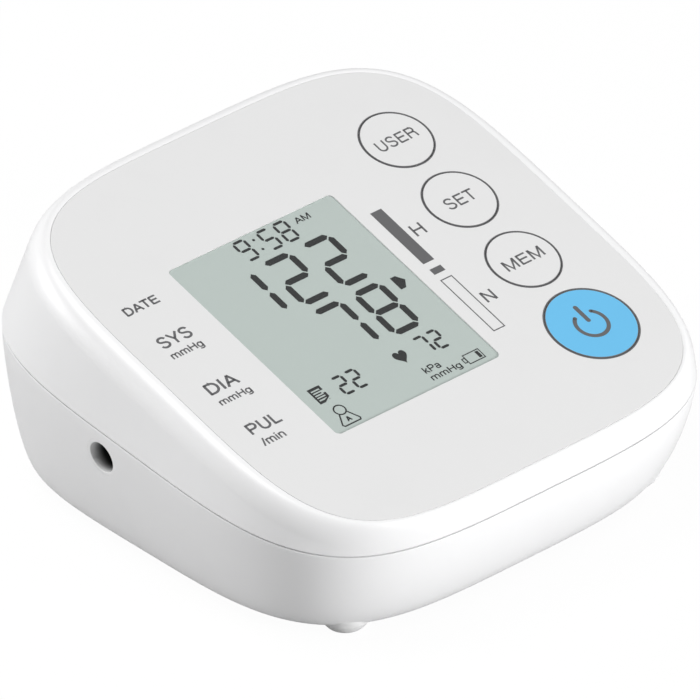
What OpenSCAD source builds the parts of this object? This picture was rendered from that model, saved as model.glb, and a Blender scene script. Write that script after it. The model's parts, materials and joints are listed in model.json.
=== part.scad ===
// Desktop blood pressure monitor that inflates an upper-arm cuff.
// Millimetres. X points to the user's right, Y to the back and Z up. The origin is on the
// table, under the middle of the case.

/* [Case] */
// Width of the case at its parting line
case_w = 136.2; // [128:0.2:146]
// Depth of the case at its parting line, seen from above
case_d = 134.6; // [128:0.2:144]
// Height of the middle of the sloping face above the table
face_z = 50.4; // [48:0.2:56]
// How far the middle of the face lies in front of the middle of the case
face_front = 6.1; // [5:0.1:7]
// Slope of the face, lower at the front
face_tilt = 16.2; // [14:0.1:18]
// Height of the parting line at the back
rear_seam_z = 40.4; // [37:0.2:45]
// Upright band between the shoulder and the parting line at the front
front_band = 0.5; // [0.3:0.1:1.5]
// Groove that shows along the parting line
seam_gap = 0.3; // [0.1:0.05:0.5]
// Thickness of the case walls
wall = 2.2; // [1.8:0.1:2.6]
// Thickness of the case floor
floor_t = 2.2; // [2:0.1:2.8]
// Step in from the parting line to the underside, at the sides
base_in_side = 6.7; // [5:0.1:8]
// Step in from the parting line to the underside, at the front
base_in_front = 8.4; // [6:0.1:10]
// Step in from the parting line to the underside, at the back
base_in_back = 3.6; // [2.5:0.1:5]
// Roundness of the belly: 2 is an ellipse, lower is flatter
belly_round = 1.41; // [1.3:0.01:1.8]

/* [Sloping face] */
// Step in from the parting line to the grey panel, at the sides
panel_in_side = 7.1; // [6.5:0.1:9]
// Step in from the parting line to the grey panel, front and back
panel_in_end = 5.8; // [5.4:0.1:7]
// Depth of the rounded shoulder round the panel
shoulder_drop = 6.1; // [5.6:0.1:7]
// Slope of the side walls, from the parting line in to the shoulder
shoulder_in = 1.7; // [1.2:0.1:2.4]
// Run of the shoulder at the back edge
shoulder_end = 4.4; // [3.6:0.1:5]
// Flat rim of the cover round the panel
rim_w = 0.5; // [0.3:0.1:0.8]
// Thickness of the grey panel
panel_t = 1.6; // [1.2:0.1:2]
// Thickness of the deck under the panel
deck_t = 2; // [1.8:0.1:2.4]

/* [Display] */
// Width of the display window
window_w = 50.6; // [46:0.2:54]
// Height of the display window
window_h = 60.8; // [56:0.2:64]
// Corner radius of the display window
window_r = 1.4; // [0.8:0.1:2.4]
// Middle of the window, to the right of the panel's middle
window_x = -11.2; // [-12:0.1:-10]
// Middle of the window, up the face from the panel's middle
window_y = -1; // [-2:0.1:1]
// Lip of the lens behind the panel
lens_lip = 2; // [1.5:0.1:2.5]
// Thickness of that lip
lens_lip_t = 0.9; // [0.7:0.1:1.1]
// Thickness of the liquid crystal cell
lcd_t = 2.8; // [2.2:0.1:3]

/* [Keys] */
// Diameter of a small key's hole
key_d = 18; // [16:0.1:19]
// Diameter of the power key's hole
power_d = 22.4; // [20:0.1:23]
// From the panel's right edge in to the line of the keys
key_in = 21.3; // [20.4:0.1:22]
// Upper key, up the face from the panel's middle
user_y = 34.9; // [33:0.1:36]
// Distance from one small key to the next
key_pitch = 22.6; // [21.6:0.1:23]
// Power key, up the face from the panel's middle
power_y = -34.4; // [-36:0.1:-33.5]
// How far a key stands proud of the panel
key_proud = 0.1; // [0.1:0.05:0.6]
// Travel of a key
key_travel = 0.5; // [0.3:0.05:0.6]
// Height of a switch body on the board
switch_h = 3.4; // [3:0.1:3.6]
// How far a switch plunger stands out of its body
plunger_out = 0.7; // [0.7:0.05:0.9]
// Radius of a switch plunger
plunger_r = 1.7; // [1.4:0.05:2]

/* [Circuit board] */
// Depth of the board's upper side under the face
board_drop = 8; // [7.6:0.1:8.6]
// Thickness of the board
board_t = 1.6; // [1:0.1:2]
// Width of the board
board_w = 96; // [94:0.5:97]
// Length of the board up the face
board_h = 92; // [90:0.5:94]
// Middle of the board, to the right of the panel's middle
board_x = 2; // [1.5:0.1:2.5]

/* [Battery bay] */
// Diameter of a cell
cell_d = 14.2; // [13.5:0.1:14.5]
// Length of a cell with its nub
cell_len = 50.5; // [49:0.1:51]
// Distance from one cell to the next
cell_pitch = 15.2; // [15:0.1:15.6]
// Room for a contact spring
spring_len = 5.7; // [5:0.1:7]
// Thickness of a contact plate
plate_t = 0.4; // [0.3:0.05:0.6]
// Inner face of the bay's front wall
bay_front_y = -44; // [-46:0.2:-43]
// Thickness of the bay's walls and roof
bay_wall = 1.8; // [1.4:0.1:2.2]
// Radius of the door's hinge stubs
hinge_r = 0.7; // [0.6:0.02:0.76]

/* [Air system] */
// Bore of the cuff socket
socket_bore_d = 7.8; // [7:0.1:8.4]
// Depth of the cuff socket's bore
socket_depth = 12; // [10:0.5:12.5]
// Cuff socket, behind the middle of the case
socket_y = 10.1; // [8:0.1:11]
// Cuff socket, above the table
socket_z = 27; // [26.6:0.1:28]
// Outer radius of the nipples
nipple_r = 2; // [1.8:0.05:2.2]
// Length of the nipples
nipple_len = 5.5; // [4.5:0.1:6]
// Bore radius of the nipples
air_r = 1; // [0.8:0.05:1.2]
// Wall of the rubber hoses
hose_wall = 0.9; // [0.7:0.05:1]
// Radius of the pump's motor can
motor_r = 12; // [11:0.1:12.4]
// Length of the pump's motor can
motor_len = 28; // [26:0.5:29]
// Radius of the pump's head, and of the sleeve round the motor
pump_r = 13.5; // [13:0.1:13.9]
// Length of the pump's head
head_len = 27; // [25:0.5:28]
// Front end of the pump's head
pump_x = -14; // [-15:0.1:-13]
// From the back of the case in to the pump's axis
pump_in = 25.3; // [24.6:0.1:26]
// Axis of the pump, above the table
pump_z = 19.8; // [19.4:0.1:22]
// Travel of the release valve's plunger
valve_travel = 0.8; // [0.4:0.05:1]

/* [Feet and screws] */
// Height of the underside above the table
foot_h = 2.6; // [2:0.1:3.4]
// Radius of a foot where it meets the case
foot_r = 6.2; // [5:0.1:6.8]
// Radius of a foot on the table
foot_tip_r = 4.3; // [3.4:0.1:4.6]
// Distance between the feet, side to side
foot_span_x = 90; // [86:0.5:92]
// Distance from the front edge of the underside to a front foot
foot_in_front = 10.8; // [9:0.1:12]
// Distance from the rear edge of the underside to a rear foot
foot_in_back = 12; // [11:0.1:14]
// How far a foot is let into the case
foot_seat = 2.6; // [1.6:0.1:3]
// Distance between the case screws, side to side
screw_span_x = 110; // [109:0.2:112]
// Row of front case screws
screw_front_y = -34; // [-36:0.2:-30]
// Row of rear case screws
screw_rear_y = 38; // [34:0.2:40]
// Radius of a case screw's shank
screw_r = 1.3; // [1.1:0.05:1.5]

/* [Fits] */
// Gap round a key, a door or another piece that moves
move_gap = 0.3; // [0.2:0.05:0.35]
// Gap round a piece that is set in
set_gap = 0.1; // [0.05:0.01:0.15]
// Running gap of a shaft or plunger in its bore
run_gap = 0.05; // [0.03:0.005:0.08]

/* [Hidden] */
$fn = 48;

// Outlines are superellipses; the exponent says how square each one is.
outline_points = 64;
panel_n = 4.43;
shoulder_n = 3.95;
seam_n = 3.88;
base_n = 3.82;
cut = 1; // overrun of a cut past the face that it opens

// Case
cos_t = cos(face_tilt);
sin_t = sin(face_tilt);
panel_a = case_w / 2 - panel_in_side;
panel_b = case_d / 2 - panel_in_end;
// The shoulder's lower edge, right above the parting line at the front.
shoulder_a = case_w / 2 - shoulder_in;
shoulder_back = panel_b + shoulder_end;
shoulder_front = (case_d / 2 - face_front + shoulder_drop * sin_t) / cos_t;
front_seam_z = face_z - shoulder_front * sin_t - shoulder_drop * cos_t - front_band;
seam_tilt = atan((rear_seam_z - front_seam_z) / case_d);
seam_z = (rear_seam_z + front_seam_z) / 2;
// Where the walls, carried on upwards, would meet the face: the corner that the shoulder rounds.
seam_back_run = (case_d / 2 + face_front) * cos_t + (rear_seam_z - face_z) * sin_t;
seam_back_depth = (case_d / 2 + face_front) * sin_t - (rear_seam_z - face_z) * cos_t;
corner_a = shoulder_a
  - shoulder_in * shoulder_drop / (face_z - shoulder_drop * cos_t - seam_z);
corner_back = shoulder_back
  - (seam_back_run - shoulder_back) * shoulder_drop / (seam_back_depth - shoulder_drop);
corner_front = (case_d / 2 - face_front) / cos_t;
seam_a = case_w / 2;
seam_b = case_d / 2 / cos(seam_tilt);
base_a = case_w / 2 - base_in_side;
base_b = (case_d - base_in_front - base_in_back) / 2;
base_y = (base_in_front - base_in_back) / 2;
floor_z = foot_h + floor_t;
tongue_t = 1.2;
tongue_h = 1.8; // above the parting line
tongue_root = 4; // below it
deck_depth = panel_t + deck_t;

// Display
lens_w = window_w + 2 * lens_lip;
lens_h = window_h + 2 * lens_lip;
glass_depth = panel_t + lens_lip_t;
frame_wall = 3;
frame_shelf = 6;
strip_w = 2;

// Keys
key_x = panel_a - key_in;
flange_lip = 0.9;
flange_t = 1;
stem_r = 3;
plunger_depth = board_drop - switch_h - plunger_out;
plunger_in = 1.3;
switch_w = 6.2;
memory_y = user_y - 2 * key_pitch;

// Board
board_back = board_drop + board_t;
board_screw_x = [-42, 26];
board_screw_y = 42;
board_screw_r = 1.1;
post_r = 3;
header_h = 5.5;
header_w = [8, 5];
// Middles of the three wire headers on the board: battery, valve and motor.
headers = [[0, -38], [12, 12], [40, 32]];
processor_at = [-8, -14];
processor_w = 12;
processor_t = 1.5;
capacitors_at = [[18, 28], [27, 28]];
capacitor_r = 3.2;
capacitor_h = 8;
buzzer_at = [36, 0];
buzzer_r = 6;
buzzer_h = 5.5;
sensor_at = [-22, 31];
sensor_w = 8;
sensor_h = 4;

// Battery bay
bay_a = 2 * cell_pitch + 0.8;
bay_len = cell_len + spring_len + 2 * plate_t;
bay_rear_y = bay_front_y + bay_len;
cell_z = floor_z + move_gap + cell_d / 2;
bay_roof_z = cell_z + cell_d / 2 + 0.5;
roof_top_z = bay_roof_z + bay_wall;
door_edge_r = floor_t / 2;
hinge_y = bay_front_y + move_gap + door_edge_r;
hinge_z = foot_h + door_edge_r;
stub_len = 1.6;
tab_h = 1;
wire_r = 0.4;
spring_turns = 4;

// Air system
pump_y = case_d / 2 - pump_in;
socket_face_x = 1.2 - case_w / 2;
socket_seat_x = socket_face_x + 3.2;
socket_flange_t = 1.5;
socket_end_x = socket_face_x + socket_depth + 1;
hose_sides = 10;
hose_bore_r = (nipple_r + 0.03) / cos(180 / hose_sides);
hose_r = hose_bore_r + hose_wall;
hose_lead = 2;
manifold_x = [-40, -28];
manifold_half = 4.5;
valve_x = -8;
valve_len = 20;
yoke_t = 1;
valve_coil_r = socket_z - roof_top_z - yoke_t - run_gap;
yoke_half = 6;
motor_x = pump_x + head_len;
pump_end_x = motor_x + motor_len;
sleeve_x = [motor_x + 3, pump_end_x - 3];
clamp_t = 1.6;
clamp_ear = 17.6;
clamp_w = 10;
clamp_x = (sleeve_x[0] + sleeve_x[1]) / 2;
crank_r = 5.5;
lead_r = 0.6;

// Feet and screws
feet = [for (x = [-1, 1], y = [base_in_front + foot_in_front - case_d / 2,
  case_d / 2 - base_in_back - foot_in_back]) [x * foot_span_x / 2, y]];
case_screws_at = [for (x = [-1, 1], y = [screw_front_y, screw_rear_y])
  [x * screw_span_x / 2, y]];
screw_post_r = 4.4;
screw_head_r = 2.7;
screw_sink = 5;
post_top = [18, 24];

// Signed power, for superellipses.
function spow(v, e) = sign(v) * pow(abs(v), e);

// A superellipse of half sizes a and b, anticlockwise.
function oval(a, b, n) = [for (i = [0 : outline_points - 1])
  let (t = 360 * i / outline_points) [a * spow(cos(t), 2 / n), b * spow(sin(t), 2 / n)]];

// From the face's own plane to the case: across, up the face, and down into it.
function face_point(p, depth) = [p[0],
  -face_front + p[1] * cos_t + depth * sin_t,
  face_z + p[1] * sin_t - depth * cos_t];

// From the plane of the parting line to the case, raised by lift.
function seam_point(p, lift) = [p[0], p[1] * cos(seam_tilt),
  seam_z + p[1] * sin(seam_tilt) + lift];

// A superellipse that reaches further back than it does to the front.
function face_oval(a, back, front, n) =
  [for (p = oval(a, (back + front) / 2, n)) [p[0], p[1] + (back - front) / 2]];

function shoulder_oval(inset) =
  face_oval(shoulder_a - inset, shoulder_back - inset, shoulder_front - inset, shoulder_n);

// One ring of the cover's rounded shoulder, from the rim at 0 to the side wall at 90 degrees.
function shoulder_ring(angle) = let (lip = rim_w + set_gap,
    rim = oval(panel_a + lip, panel_b + lip, panel_n),
    corner = face_oval(corner_a, corner_back, corner_front, shoulder_n),
    low = shoulder_oval(0),
    s = sin(angle),
    fall = 1 - cos(angle))
  [for (i = [0 : outline_points - 1])
    face_point(rim[i] + (corner[i] - rim[i]) * s + (low[i] - corner[i]) * fall,
      shoulder_drop * fall)];

// One ring of the belly, from the parting line at 0 to the underside at 90 degrees.
function belly_ring(angle, inset, bottom_z) = let (
    seam = oval(seam_a - inset, seam_b - inset, seam_n),
    base = oval(base_a - inset, base_b - inset, base_n),
    c = pow(cos(angle), 2 / belly_round),
    s = pow(sin(angle), 2 / belly_round))
  [for (i = [0 : outline_points - 1]) let (
      top = seam_point(seam[i], 0),
      low = [base[i][0], base_y + base[i][1], bottom_z])
    [low[0] + (top[0] - low[0]) * c, low[1] + (top[1] - low[1]) * c,
      top[2] + (low[2] - top[2]) * s]];

// Points between a and b on a quarter turn: out along axis i first, then along axis k.
function bend(a, b, i, k) = [for (t = [22.5, 45, 67.5]) [for (m = [0 : 2]) let (
    s = m == i ? sin(t) : m == k ? 1 - cos(t) : t / 90) a[m] + (b[m] - a[m]) * s]];

// Points on a smooth curve through the given ones (Catmull-Rom).
function curve(route, steps) = let (n = len(route) - 1) [
  for (i = [0 : n - 1]) let (
      a = route[max(i - 1, 0)],
      b = route[i],
      c = route[i + 1],
      d = route[min(i + 2, n)])
    for (k = [0 : (i == n - 1 ? steps : steps - 1)]) let (t = k / steps)
      ((2 * b) + (c - a) * t + (2 * a - 5 * b + 4 * c - d) * t * t
        + (3 * b - a - 3 * c + d) * t * t * t) / 2];

function unit(v) = v / norm(v);

// Directions along a row of points; the two ends take the direction of their own stretch.
function directions(p) = let (n = len(p) - 1)
  [for (i = [0 : n]) unit(p[min(i + 1, n)] - p[max(i - 1, 0)])];

// A side direction carried along the row without twisting.
function sides_of(d) = let (first = unit(cross(d[0], abs(d[0][2]) < 0.9 ? [0, 0, 1] : [1, 0, 0])))
  [for (i = 0, u = first; i < len(d);
      i = i + 1, u = i < len(d) ? unit(u - d[i] * (u * d[i])) : u) u];

// Rings of radius r round a row of points.
function tube_rings(p, r, sides) = let (d = directions(p), u = sides_of(d))
  [for (i = [0 : len(p) - 1]) let (v = cross(d[i], u[i]))
    [for (k = [0 : sides - 1]) p[i] + r * (cos(360 * k / sides) * u[i] + sin(360 * k / sides) * v)]];

// The side walls between rings of n points, the first ring starting at point start.
function walls(n, rings, start, inward) = [for (j = [0 : rings - 2], i = [0 : n - 1]) let (
    a = start + j * n + i,
    b = start + j * n + (i + 1) % n)
  each inward ? [[a, b + n, b], [a, a + n, b + n]] : [[a, b, b + n], [a, b + n, a + n]]];

// A solid through closed rings of equal length, top ring first.
module loft(rings) {
  n = len(rings[0]);
  last = (len(rings) - 1) * n;
  polyhedron([for (ring = rings) each ring],
    concat(walls(n, len(rings), 0, false),
      [[for (i = [n - 1 : -1 : 0]) i], [for (i = [0 : n - 1]) last + i]]));
}

// A solid round wire along a row of points.
module wire(p, r, sides) {
  rings = tube_rings(p, r, sides);
  last = (len(rings) - 1) * sides;
  polyhedron([for (ring = rings) each ring],
    concat(walls(sides, len(rings), 0, true),
      [[for (i = [0 : sides - 1]) i], [for (i = [sides - 1 : -1 : 0]) last + i]]));
}

// A hose with its bore along a row of points.
module hose(p) {
  outer = tube_rings(p, hose_r, hose_sides);
  inner = tube_rings(p, hose_bore_r, hose_sides);
  n = hose_sides;
  count = len(p) * n;
  last = count - n;
  polyhedron([for (ring = concat(outer, inner)) each ring],
    concat(walls(n, len(p), 0, true), walls(n, len(p), count, false),
      [for (i = [0 : n - 1]) let (k = (i + 1) % n) [i, k, count + k, count + i]],
      [for (i = [0 : n - 1]) let (k = (i + 1) % n)
        [last + k, last + i, count + last + i, count + last + k]]));
}

module on_face(x = 0, y = 0, depth = 0)
  translate([0, -face_front, face_z]) rotate([face_tilt, 0, 0]) translate([x, y, -depth])
    children();

module on_seam(z = 0)
  translate([0, 0, seam_z]) rotate([seam_tilt, 0, 0]) translate([0, 0, z]) children();

// A round bar or bore along X, from x to x + length.
module bar_x(x, length, r, y, z) translate([x, y, z]) rotate([0, 90, 0]) cylinder(h = length, r = r);

module block(low, high) translate(low) cube(high - low);

// A flat rectangle with round corners.
module round_rect(w, h, r) {
  square([w - 2 * r, h], center = true);
  square([w, h - 2 * r], center = true);
  for (x = [-1, 1], y = [-1, 1]) translate([x * (w / 2 - r), y * (h / 2 - r)]) circle(r);
}

module plate(w, h, r, t) linear_extrude(t) round_rect(w, h, r);

// A round screw with a cross recess, head down, its shank along +Z from 0.
module screw(shank_r, shank_len, head_r, head_h) difference() {
  union() {
    translate([0, 0, -head_h]) cylinder(h = head_h, r = head_r);
    cylinder(h = shank_len, r = shank_r);
  }
  for (a = [0, 90]) rotate(a)
    translate([0, 0, -head_h]) cube([head_r * 1.2, head_r * 0.28, head_h], center = true);
}

function key_radius(d) = d / 2 - move_gap;
function flange_radius(d) = d / 2 + flange_lip;

module key_holes(extra, depth, h) for (k = [[key_d, user_y], [key_d, user_y - key_pitch],
    [key_d, memory_y], [power_d, power_y]])
  on_face(key_x, k[1], depth) cylinder(h = h, r = k[0] / 2 + extra);

// ---- Case ----

// The belly as a solid, smaller all round by inset; lift carries it on above the parting line.
module belly(inset, bottom_z, lift = 0)
  loft(concat(
    lift > 0 ? [[for (p = oval(seam_a - inset, seam_b - inset, seam_n)) seam_point(p, lift)]] : [],
    [for (angle = [0 : 11.25 : 90]) belly_ring(angle, inset, bottom_z)]));

module cover_block()
  loft(concat([for (angle = [0 : 15 : 90]) shoulder_ring(angle)],
    [[for (p = oval(seam_a, seam_b, seam_n)) seam_point(p, seam_gap)]]));

// The room inside the cover, smaller all round by inset and longer at both ends by over.
module cover_hollow(inset, over = 0)
  loft([[for (p = shoulder_oval(inset + 1)) face_point(p, deck_depth - over)],
    [for (p = shoulder_oval(inset)) face_point(p, shoulder_drop)],
    [for (p = oval(seam_a - inset, seam_b - inset, seam_n)) seam_point(p, -cut - over)]]);

// What lies under the middle of the deck, to trim posts that end in it.
module under_deck() intersection() {
  children();
  on_face(0, 0, deck_depth - deck_t / 2 + case_w) translate([-case_w, -case_d, 0])
    cube([2 * case_w, 2 * case_d, case_w]);
}

module upper_cover() color("white") difference() {
  union() {
    difference() {
      cover_block();
      cover_hollow(wall);
    }
    for (x = board_screw_x, y = [-1, 1])
      on_face(x, y * board_screw_y, board_drop) cylinder(h = board_drop - deck_depth + 0.5, r = post_r);
    under_deck() for (s = case_screws_at)
      translate([s[0], s[1], s[1] < 0 ? post_top[0] : post_top[1]]) cylinder(h = case_w, r = post_r + 0.5);
  }
  on_face(0, 0, panel_t) linear_extrude(panel_t + cut)
    polygon(oval(panel_a + set_gap, panel_b + set_gap, panel_n));
  on_face(window_x, window_y, deck_depth + cut)
    plate(lens_w + 2 * move_gap, lens_h + 2 * move_gap, window_r, deck_t + 2 * cut);
  key_holes(flange_lip + 2 * move_gap, deck_depth + cut, deck_t + 2 * cut);
  for (x = board_screw_x, y = [-1, 1])
    on_face(x, y * board_screw_y, board_drop + cut) cylinder(h = 4.5, r = board_screw_r + 0.02);
  for (s = case_screws_at) translate([s[0], s[1], foot_h])
    cylinder(h = (s[1] < 0 ? post_top[0] : post_top[1]) + 6, r = screw_r + 0.02);
}

// Tongue that lines the cover's wall above the parting line, on a step inside the belly's wall.
module tongue() {
  outer = wall + set_gap;
  inner = outer + tongue_t;
  on_seam(-tongue_root) linear_extrude(tongue_root - 0.4) difference() {
    polygon(oval(seam_a - wall + 1, seam_b - wall + 1, seam_n));
    polygon(oval(seam_a - inner - 0.4, seam_b - inner - 0.4, seam_n));
  }
  intersection() {
    difference() {
      cover_hollow(outer);
      cover_hollow(inner, cut);
    }
    on_seam(-cut + 0.2) translate([-case_w, -case_d, 0])
      cube([2 * case_w, 2 * case_d, tongue_h + cut - 0.2]);
  }
}

// Saddle that holds the pump at one place along its axis.
module pump_saddle(x) difference() {
  block([x - 1.2, pump_y - pump_r + 1, floor_z - 0.5], [x + 1.2, pump_y + pump_r - 1, pump_z - 2]);
  bar_x(x - 2, 4, pump_r + 0.02, pump_y, pump_z);
}

module bay_block() block([-bay_a - bay_wall, bay_front_y - bay_wall, foot_h],
  [bay_a + bay_wall, bay_rear_y + bay_wall, roof_top_z]);

module lower_inside() {
  bay_block();
  for (s = case_screws_at) translate([s[0], s[1], floor_z - 0.5])
    cylinder(h = (s[1] < 0 ? post_top[0] : post_top[1]) - floor_z + 0.5, r = screw_post_r);
  for (f = feet) translate([f[0], f[1], foot_h + 1]) cylinder(h = foot_seat + 0.8, r = foot_r + 1.4);
  for (x = [pump_x + 8, sleeve_x[0] + 1.4, sleeve_x[1] - 1.4]) pump_saddle(x);
  for (y = [-1, 1]) translate([clamp_x, pump_y + y * clamp_ear, floor_z - 0.5])
    cylinder(h = pump_z - floor_z + 0.5, r = post_r);
  bar_x(socket_face_x + 1, socket_seat_x - socket_face_x - 1, 7.5, socket_y, socket_z);
  difference() {
    block([socket_end_x - 5.5, socket_y - 7, floor_z - 0.5], [socket_end_x - 3.5, socket_y + 7, socket_z]);
    bar_x(socket_end_x - 7, 5, 5.52, socket_y, socket_z);
  }
  block([manifold_x[0] + 3, socket_y - 3, floor_z - 0.5],
    [manifold_x[1] - 2, socket_y + 3, socket_z - manifold_half]);
}

module lower_case() color("white") difference() {
  union() {
    difference() {
      belly(0, foot_h);
      belly(wall, floor_z, cut);
    }
    intersection() {
      belly(0.6, foot_h);
      lower_inside();
    }
    tongue();
  }
  block([-bay_a, bay_front_y, foot_h - cut], [bay_a, bay_rear_y, bay_roof_z]);
  for (x = [-1, 1]) bar_x(x * (bay_a + 1) - 1.2, 2.4, hinge_r + run_gap, hinge_y, hinge_z);
  translate([0, bay_rear_y + 4, foot_h - 6.5]) rotate([90, 0, 0])
    cylinder(h = 10, r = 8, center = true);
  for (x = [-1.5, 1.5]) translate([x * cell_pitch, bay_front_y, cell_z + 2])
    cube([5.4, 2 * bay_wall + 2, 0.8], center = true);
  for (s = case_screws_at) translate([s[0], s[1], foot_h]) {
    translate([0, 0, -cut]) cylinder(h = screw_sink + cut, r = screw_head_r + move_gap);
    translate([0, 0, -cut]) cylinder(h = case_w, r = screw_r + 0.2);
  }
  for (f = feet) translate([f[0], f[1], 0]) cylinder(h = foot_h + foot_seat, r = foot_r + 0.02);
  bar_x(-case_w, case_w + socket_seat_x + cut, socket_bore_d / 2 + 0.9 + set_gap, socket_y, socket_z);
  for (y = [-1, 1]) translate([clamp_x, pump_y + y * clamp_ear, pump_z - 8])
    cylinder(h = 9, r = board_screw_r + 0.02);
}

module rubber_feet() color("white") for (f = feet) translate([f[0], f[1], 0])
  rotate_extrude() polygon([[0, 0], [foot_tip_r - 0.6, 0], [foot_tip_r, 0.35],
    [foot_r - 0.5, foot_h - 0.8], [foot_r, foot_h], [foot_r, foot_h + foot_seat], [0, foot_h + foot_seat]]);

module case_screws() color("silver") for (s = case_screws_at)
  translate([s[0], s[1], foot_h + screw_sink])
    screw(screw_r, (s[1] < 0 ? post_top[0] : post_top[1]) + 5.5 - screw_sink - foot_h, screw_head_r, 2);

// ---- Sloping face ----

module face_panel() color("lightgray") difference() {
  on_face(0, 0, panel_t) linear_extrude(panel_t) polygon(oval(panel_a, panel_b, panel_n));
  on_face(window_x, window_y, panel_t + cut)
    plate(window_w, window_h, window_r, panel_t + 2 * cut);
  key_holes(0, panel_t + cut, panel_t + 2 * cut);
}

module display_window() color("lightcyan", 0.4) {
  on_face(window_x, window_y, panel_t)
    plate(window_w - 2 * set_gap, window_h - 2 * set_gap, window_r - set_gap, panel_t);
  on_face(window_x, window_y, glass_depth) plate(lens_w, lens_h, window_r, lens_lip_t);
}

module lcd_glass() color("darkseagreen")
  on_face(window_x, window_y, glass_depth + lcd_t)
    plate(lens_w - 2 * move_gap, lens_h - 2 * move_gap, 0.8, lcd_t);

module lcd_frame() color("gray") {
  glass_w = lens_w - 2 * move_gap;
  glass_h = lens_h - 2 * move_gap;
  on_face(window_x, window_y, board_drop) difference() {
    plate(lens_w + 2 * frame_wall, lens_h + 2 * frame_wall, 2, board_drop - deck_depth - set_gap);
    translate([0, 0, board_drop - glass_depth - lcd_t])
      plate(glass_w + 2 * set_gap, glass_h + 2 * set_gap, 0.8, board_drop);
    translate([0, 0, -cut]) plate(glass_w - 6, glass_h - 2 * frame_shelf, 1, board_drop);
    for (y = [-1, 1]) translate([0, y * (glass_h / 2 - frame_shelf / 2), -cut])
      plate(glass_w - 8, strip_w + 2 * set_gap, 0.4, board_drop);
  }
}

module lcd_contacts() color("dimgray") {
  glass_w = lens_w - 2 * move_gap;
  glass_h = lens_h - 2 * move_gap;
  for (y = [-1, 1])
    on_face(window_x, window_y + y * (glass_h / 2 - frame_shelf / 2), board_drop)
      plate(glass_w - 8 - 2 * set_gap, strip_w, 0.3, board_drop - glass_depth - lcd_t);
}

// ---- Keys ----

// A key: its cap in the panel's hole, its flange under the panel and its stem on the switch.
module key(d, y) {
  r = key_radius(d);
  flange_top = panel_t + move_gap;
  on_face(key_x, y) rotate_extrude() polygon([[0, -plunger_depth], [stem_r, -plunger_depth],
    [stem_r, -flange_top - flange_t], [flange_radius(d), -flange_top - flange_t],
    [flange_radius(d), -flange_top], [r, -flange_top], [r, key_proud - 0.25],
    [r - 0.25, key_proud], [0, key_proud]]);
}

module plunger(y) on_face(key_x, y, plunger_depth + plunger_out + plunger_in)
  cylinder(h = plunger_out + plunger_in, r = plunger_r);

module user_button() color("lightgray") key(key_d, user_y);
module set_button() color("lightgray") key(key_d, user_y - key_pitch);
module memory_button() color("lightgray") key(key_d, memory_y);
module power_button() color("lightskyblue") key(power_d, power_y);
module user_plunger() color("black") plunger(user_y);
module set_plunger() color("black") plunger(user_y - key_pitch);
module memory_plunger() color("black") plunger(memory_y);
module power_plunger() color("black") plunger(power_y);

module switch_bodies() color("dimgray")
  for (y = [user_y, user_y - key_pitch, memory_y, power_y]) on_face(key_x, y, board_drop) difference() {
    translate([-switch_w / 2, -switch_w / 2, 0]) cube([switch_w, switch_w, switch_h]);
    translate([0, 0, switch_h - plunger_in - key_travel - 0.2])
      cylinder(h = switch_h, r = plunger_r + run_gap);
  }

// ---- Circuit board, seen from under it: every part hangs from its lower side ----

module main_board() color("darkgreen") difference() {
  on_face(board_x, 0, board_back) plate(board_w, board_h, 2, board_t);
  for (x = board_screw_x, y = [-1, 1])
    on_face(x, y * board_screw_y, board_back + cut) cylinder(h = board_t + 2 * cut, r = board_screw_r + 0.2);
}

module processor() color("black") on_face(processor_at[0], processor_at[1], board_back + processor_t)
  translate([-processor_w / 2, -processor_w / 2, 0]) cube([processor_w, processor_w, processor_t]);

module capacitors() color("midnightblue") for (c = capacitors_at)
  on_face(c[0], c[1], board_back + capacitor_h) cylinder(h = capacitor_h, r = capacitor_r);

module buzzer() color("black") on_face(buzzer_at[0], buzzer_at[1], board_back + buzzer_h) difference() {
  cylinder(h = buzzer_h, r = buzzer_r);
  translate([0, 0, -cut]) cylinder(h = 2 * cut, r = buzzer_r / 5);
}

module pressure_sensor() color("whitesmoke") on_face(sensor_at[0], sensor_at[1], board_back) difference() {
  union() {
    translate([-sensor_w / 2, -sensor_w / 2, -sensor_h]) cube([sensor_w, sensor_w, sensor_h]);
    translate([0, 0, -sensor_h - nipple_len]) cylinder(h = nipple_len, r = nipple_r);
  }
  translate([0, 0, -sensor_h - nipple_len - cut]) cylinder(h = nipple_len + cut + 1, r = air_r);
}

module board_headers() color("ivory") for (h = headers)
  on_face(h[0], h[1], board_back + header_h) translate(-header_w / 2) cube([header_w[0], header_w[1], header_h]);

module small_screws() color("silver") {
  for (x = board_screw_x, y = [-1, 1])
    on_face(x, y * board_screw_y, board_back) screw(board_screw_r, 4.5, 2.2, 1.3);
  for (y = [-1, 1]) translate([clamp_x, pump_y + y * clamp_ear, pump_z + clamp_t])
    mirror([0, 0, 1]) screw(board_screw_r, 7, 2.2, 1.3);
}

// ---- Air system ----

module cuff_socket() color("gainsboro") {
  bore_r = socket_bore_d / 2;
  difference() {
    union() {
      bar_x(socket_face_x, socket_end_x - socket_face_x, bore_r + 0.9, socket_y, socket_z);
      bar_x(socket_seat_x, socket_flange_t, 7, socket_y, socket_z);
      bar_x(socket_seat_x, socket_end_x - socket_seat_x, 5.5, socket_y, socket_z);
      bar_x(socket_end_x, nipple_len, nipple_r, socket_y, socket_z);
    }
    bar_x(socket_face_x - cut, socket_depth + cut, bore_r, socket_y, socket_z);
    bar_x(socket_face_x, case_w, air_r, socket_y, socket_z);
  }
}

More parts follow.
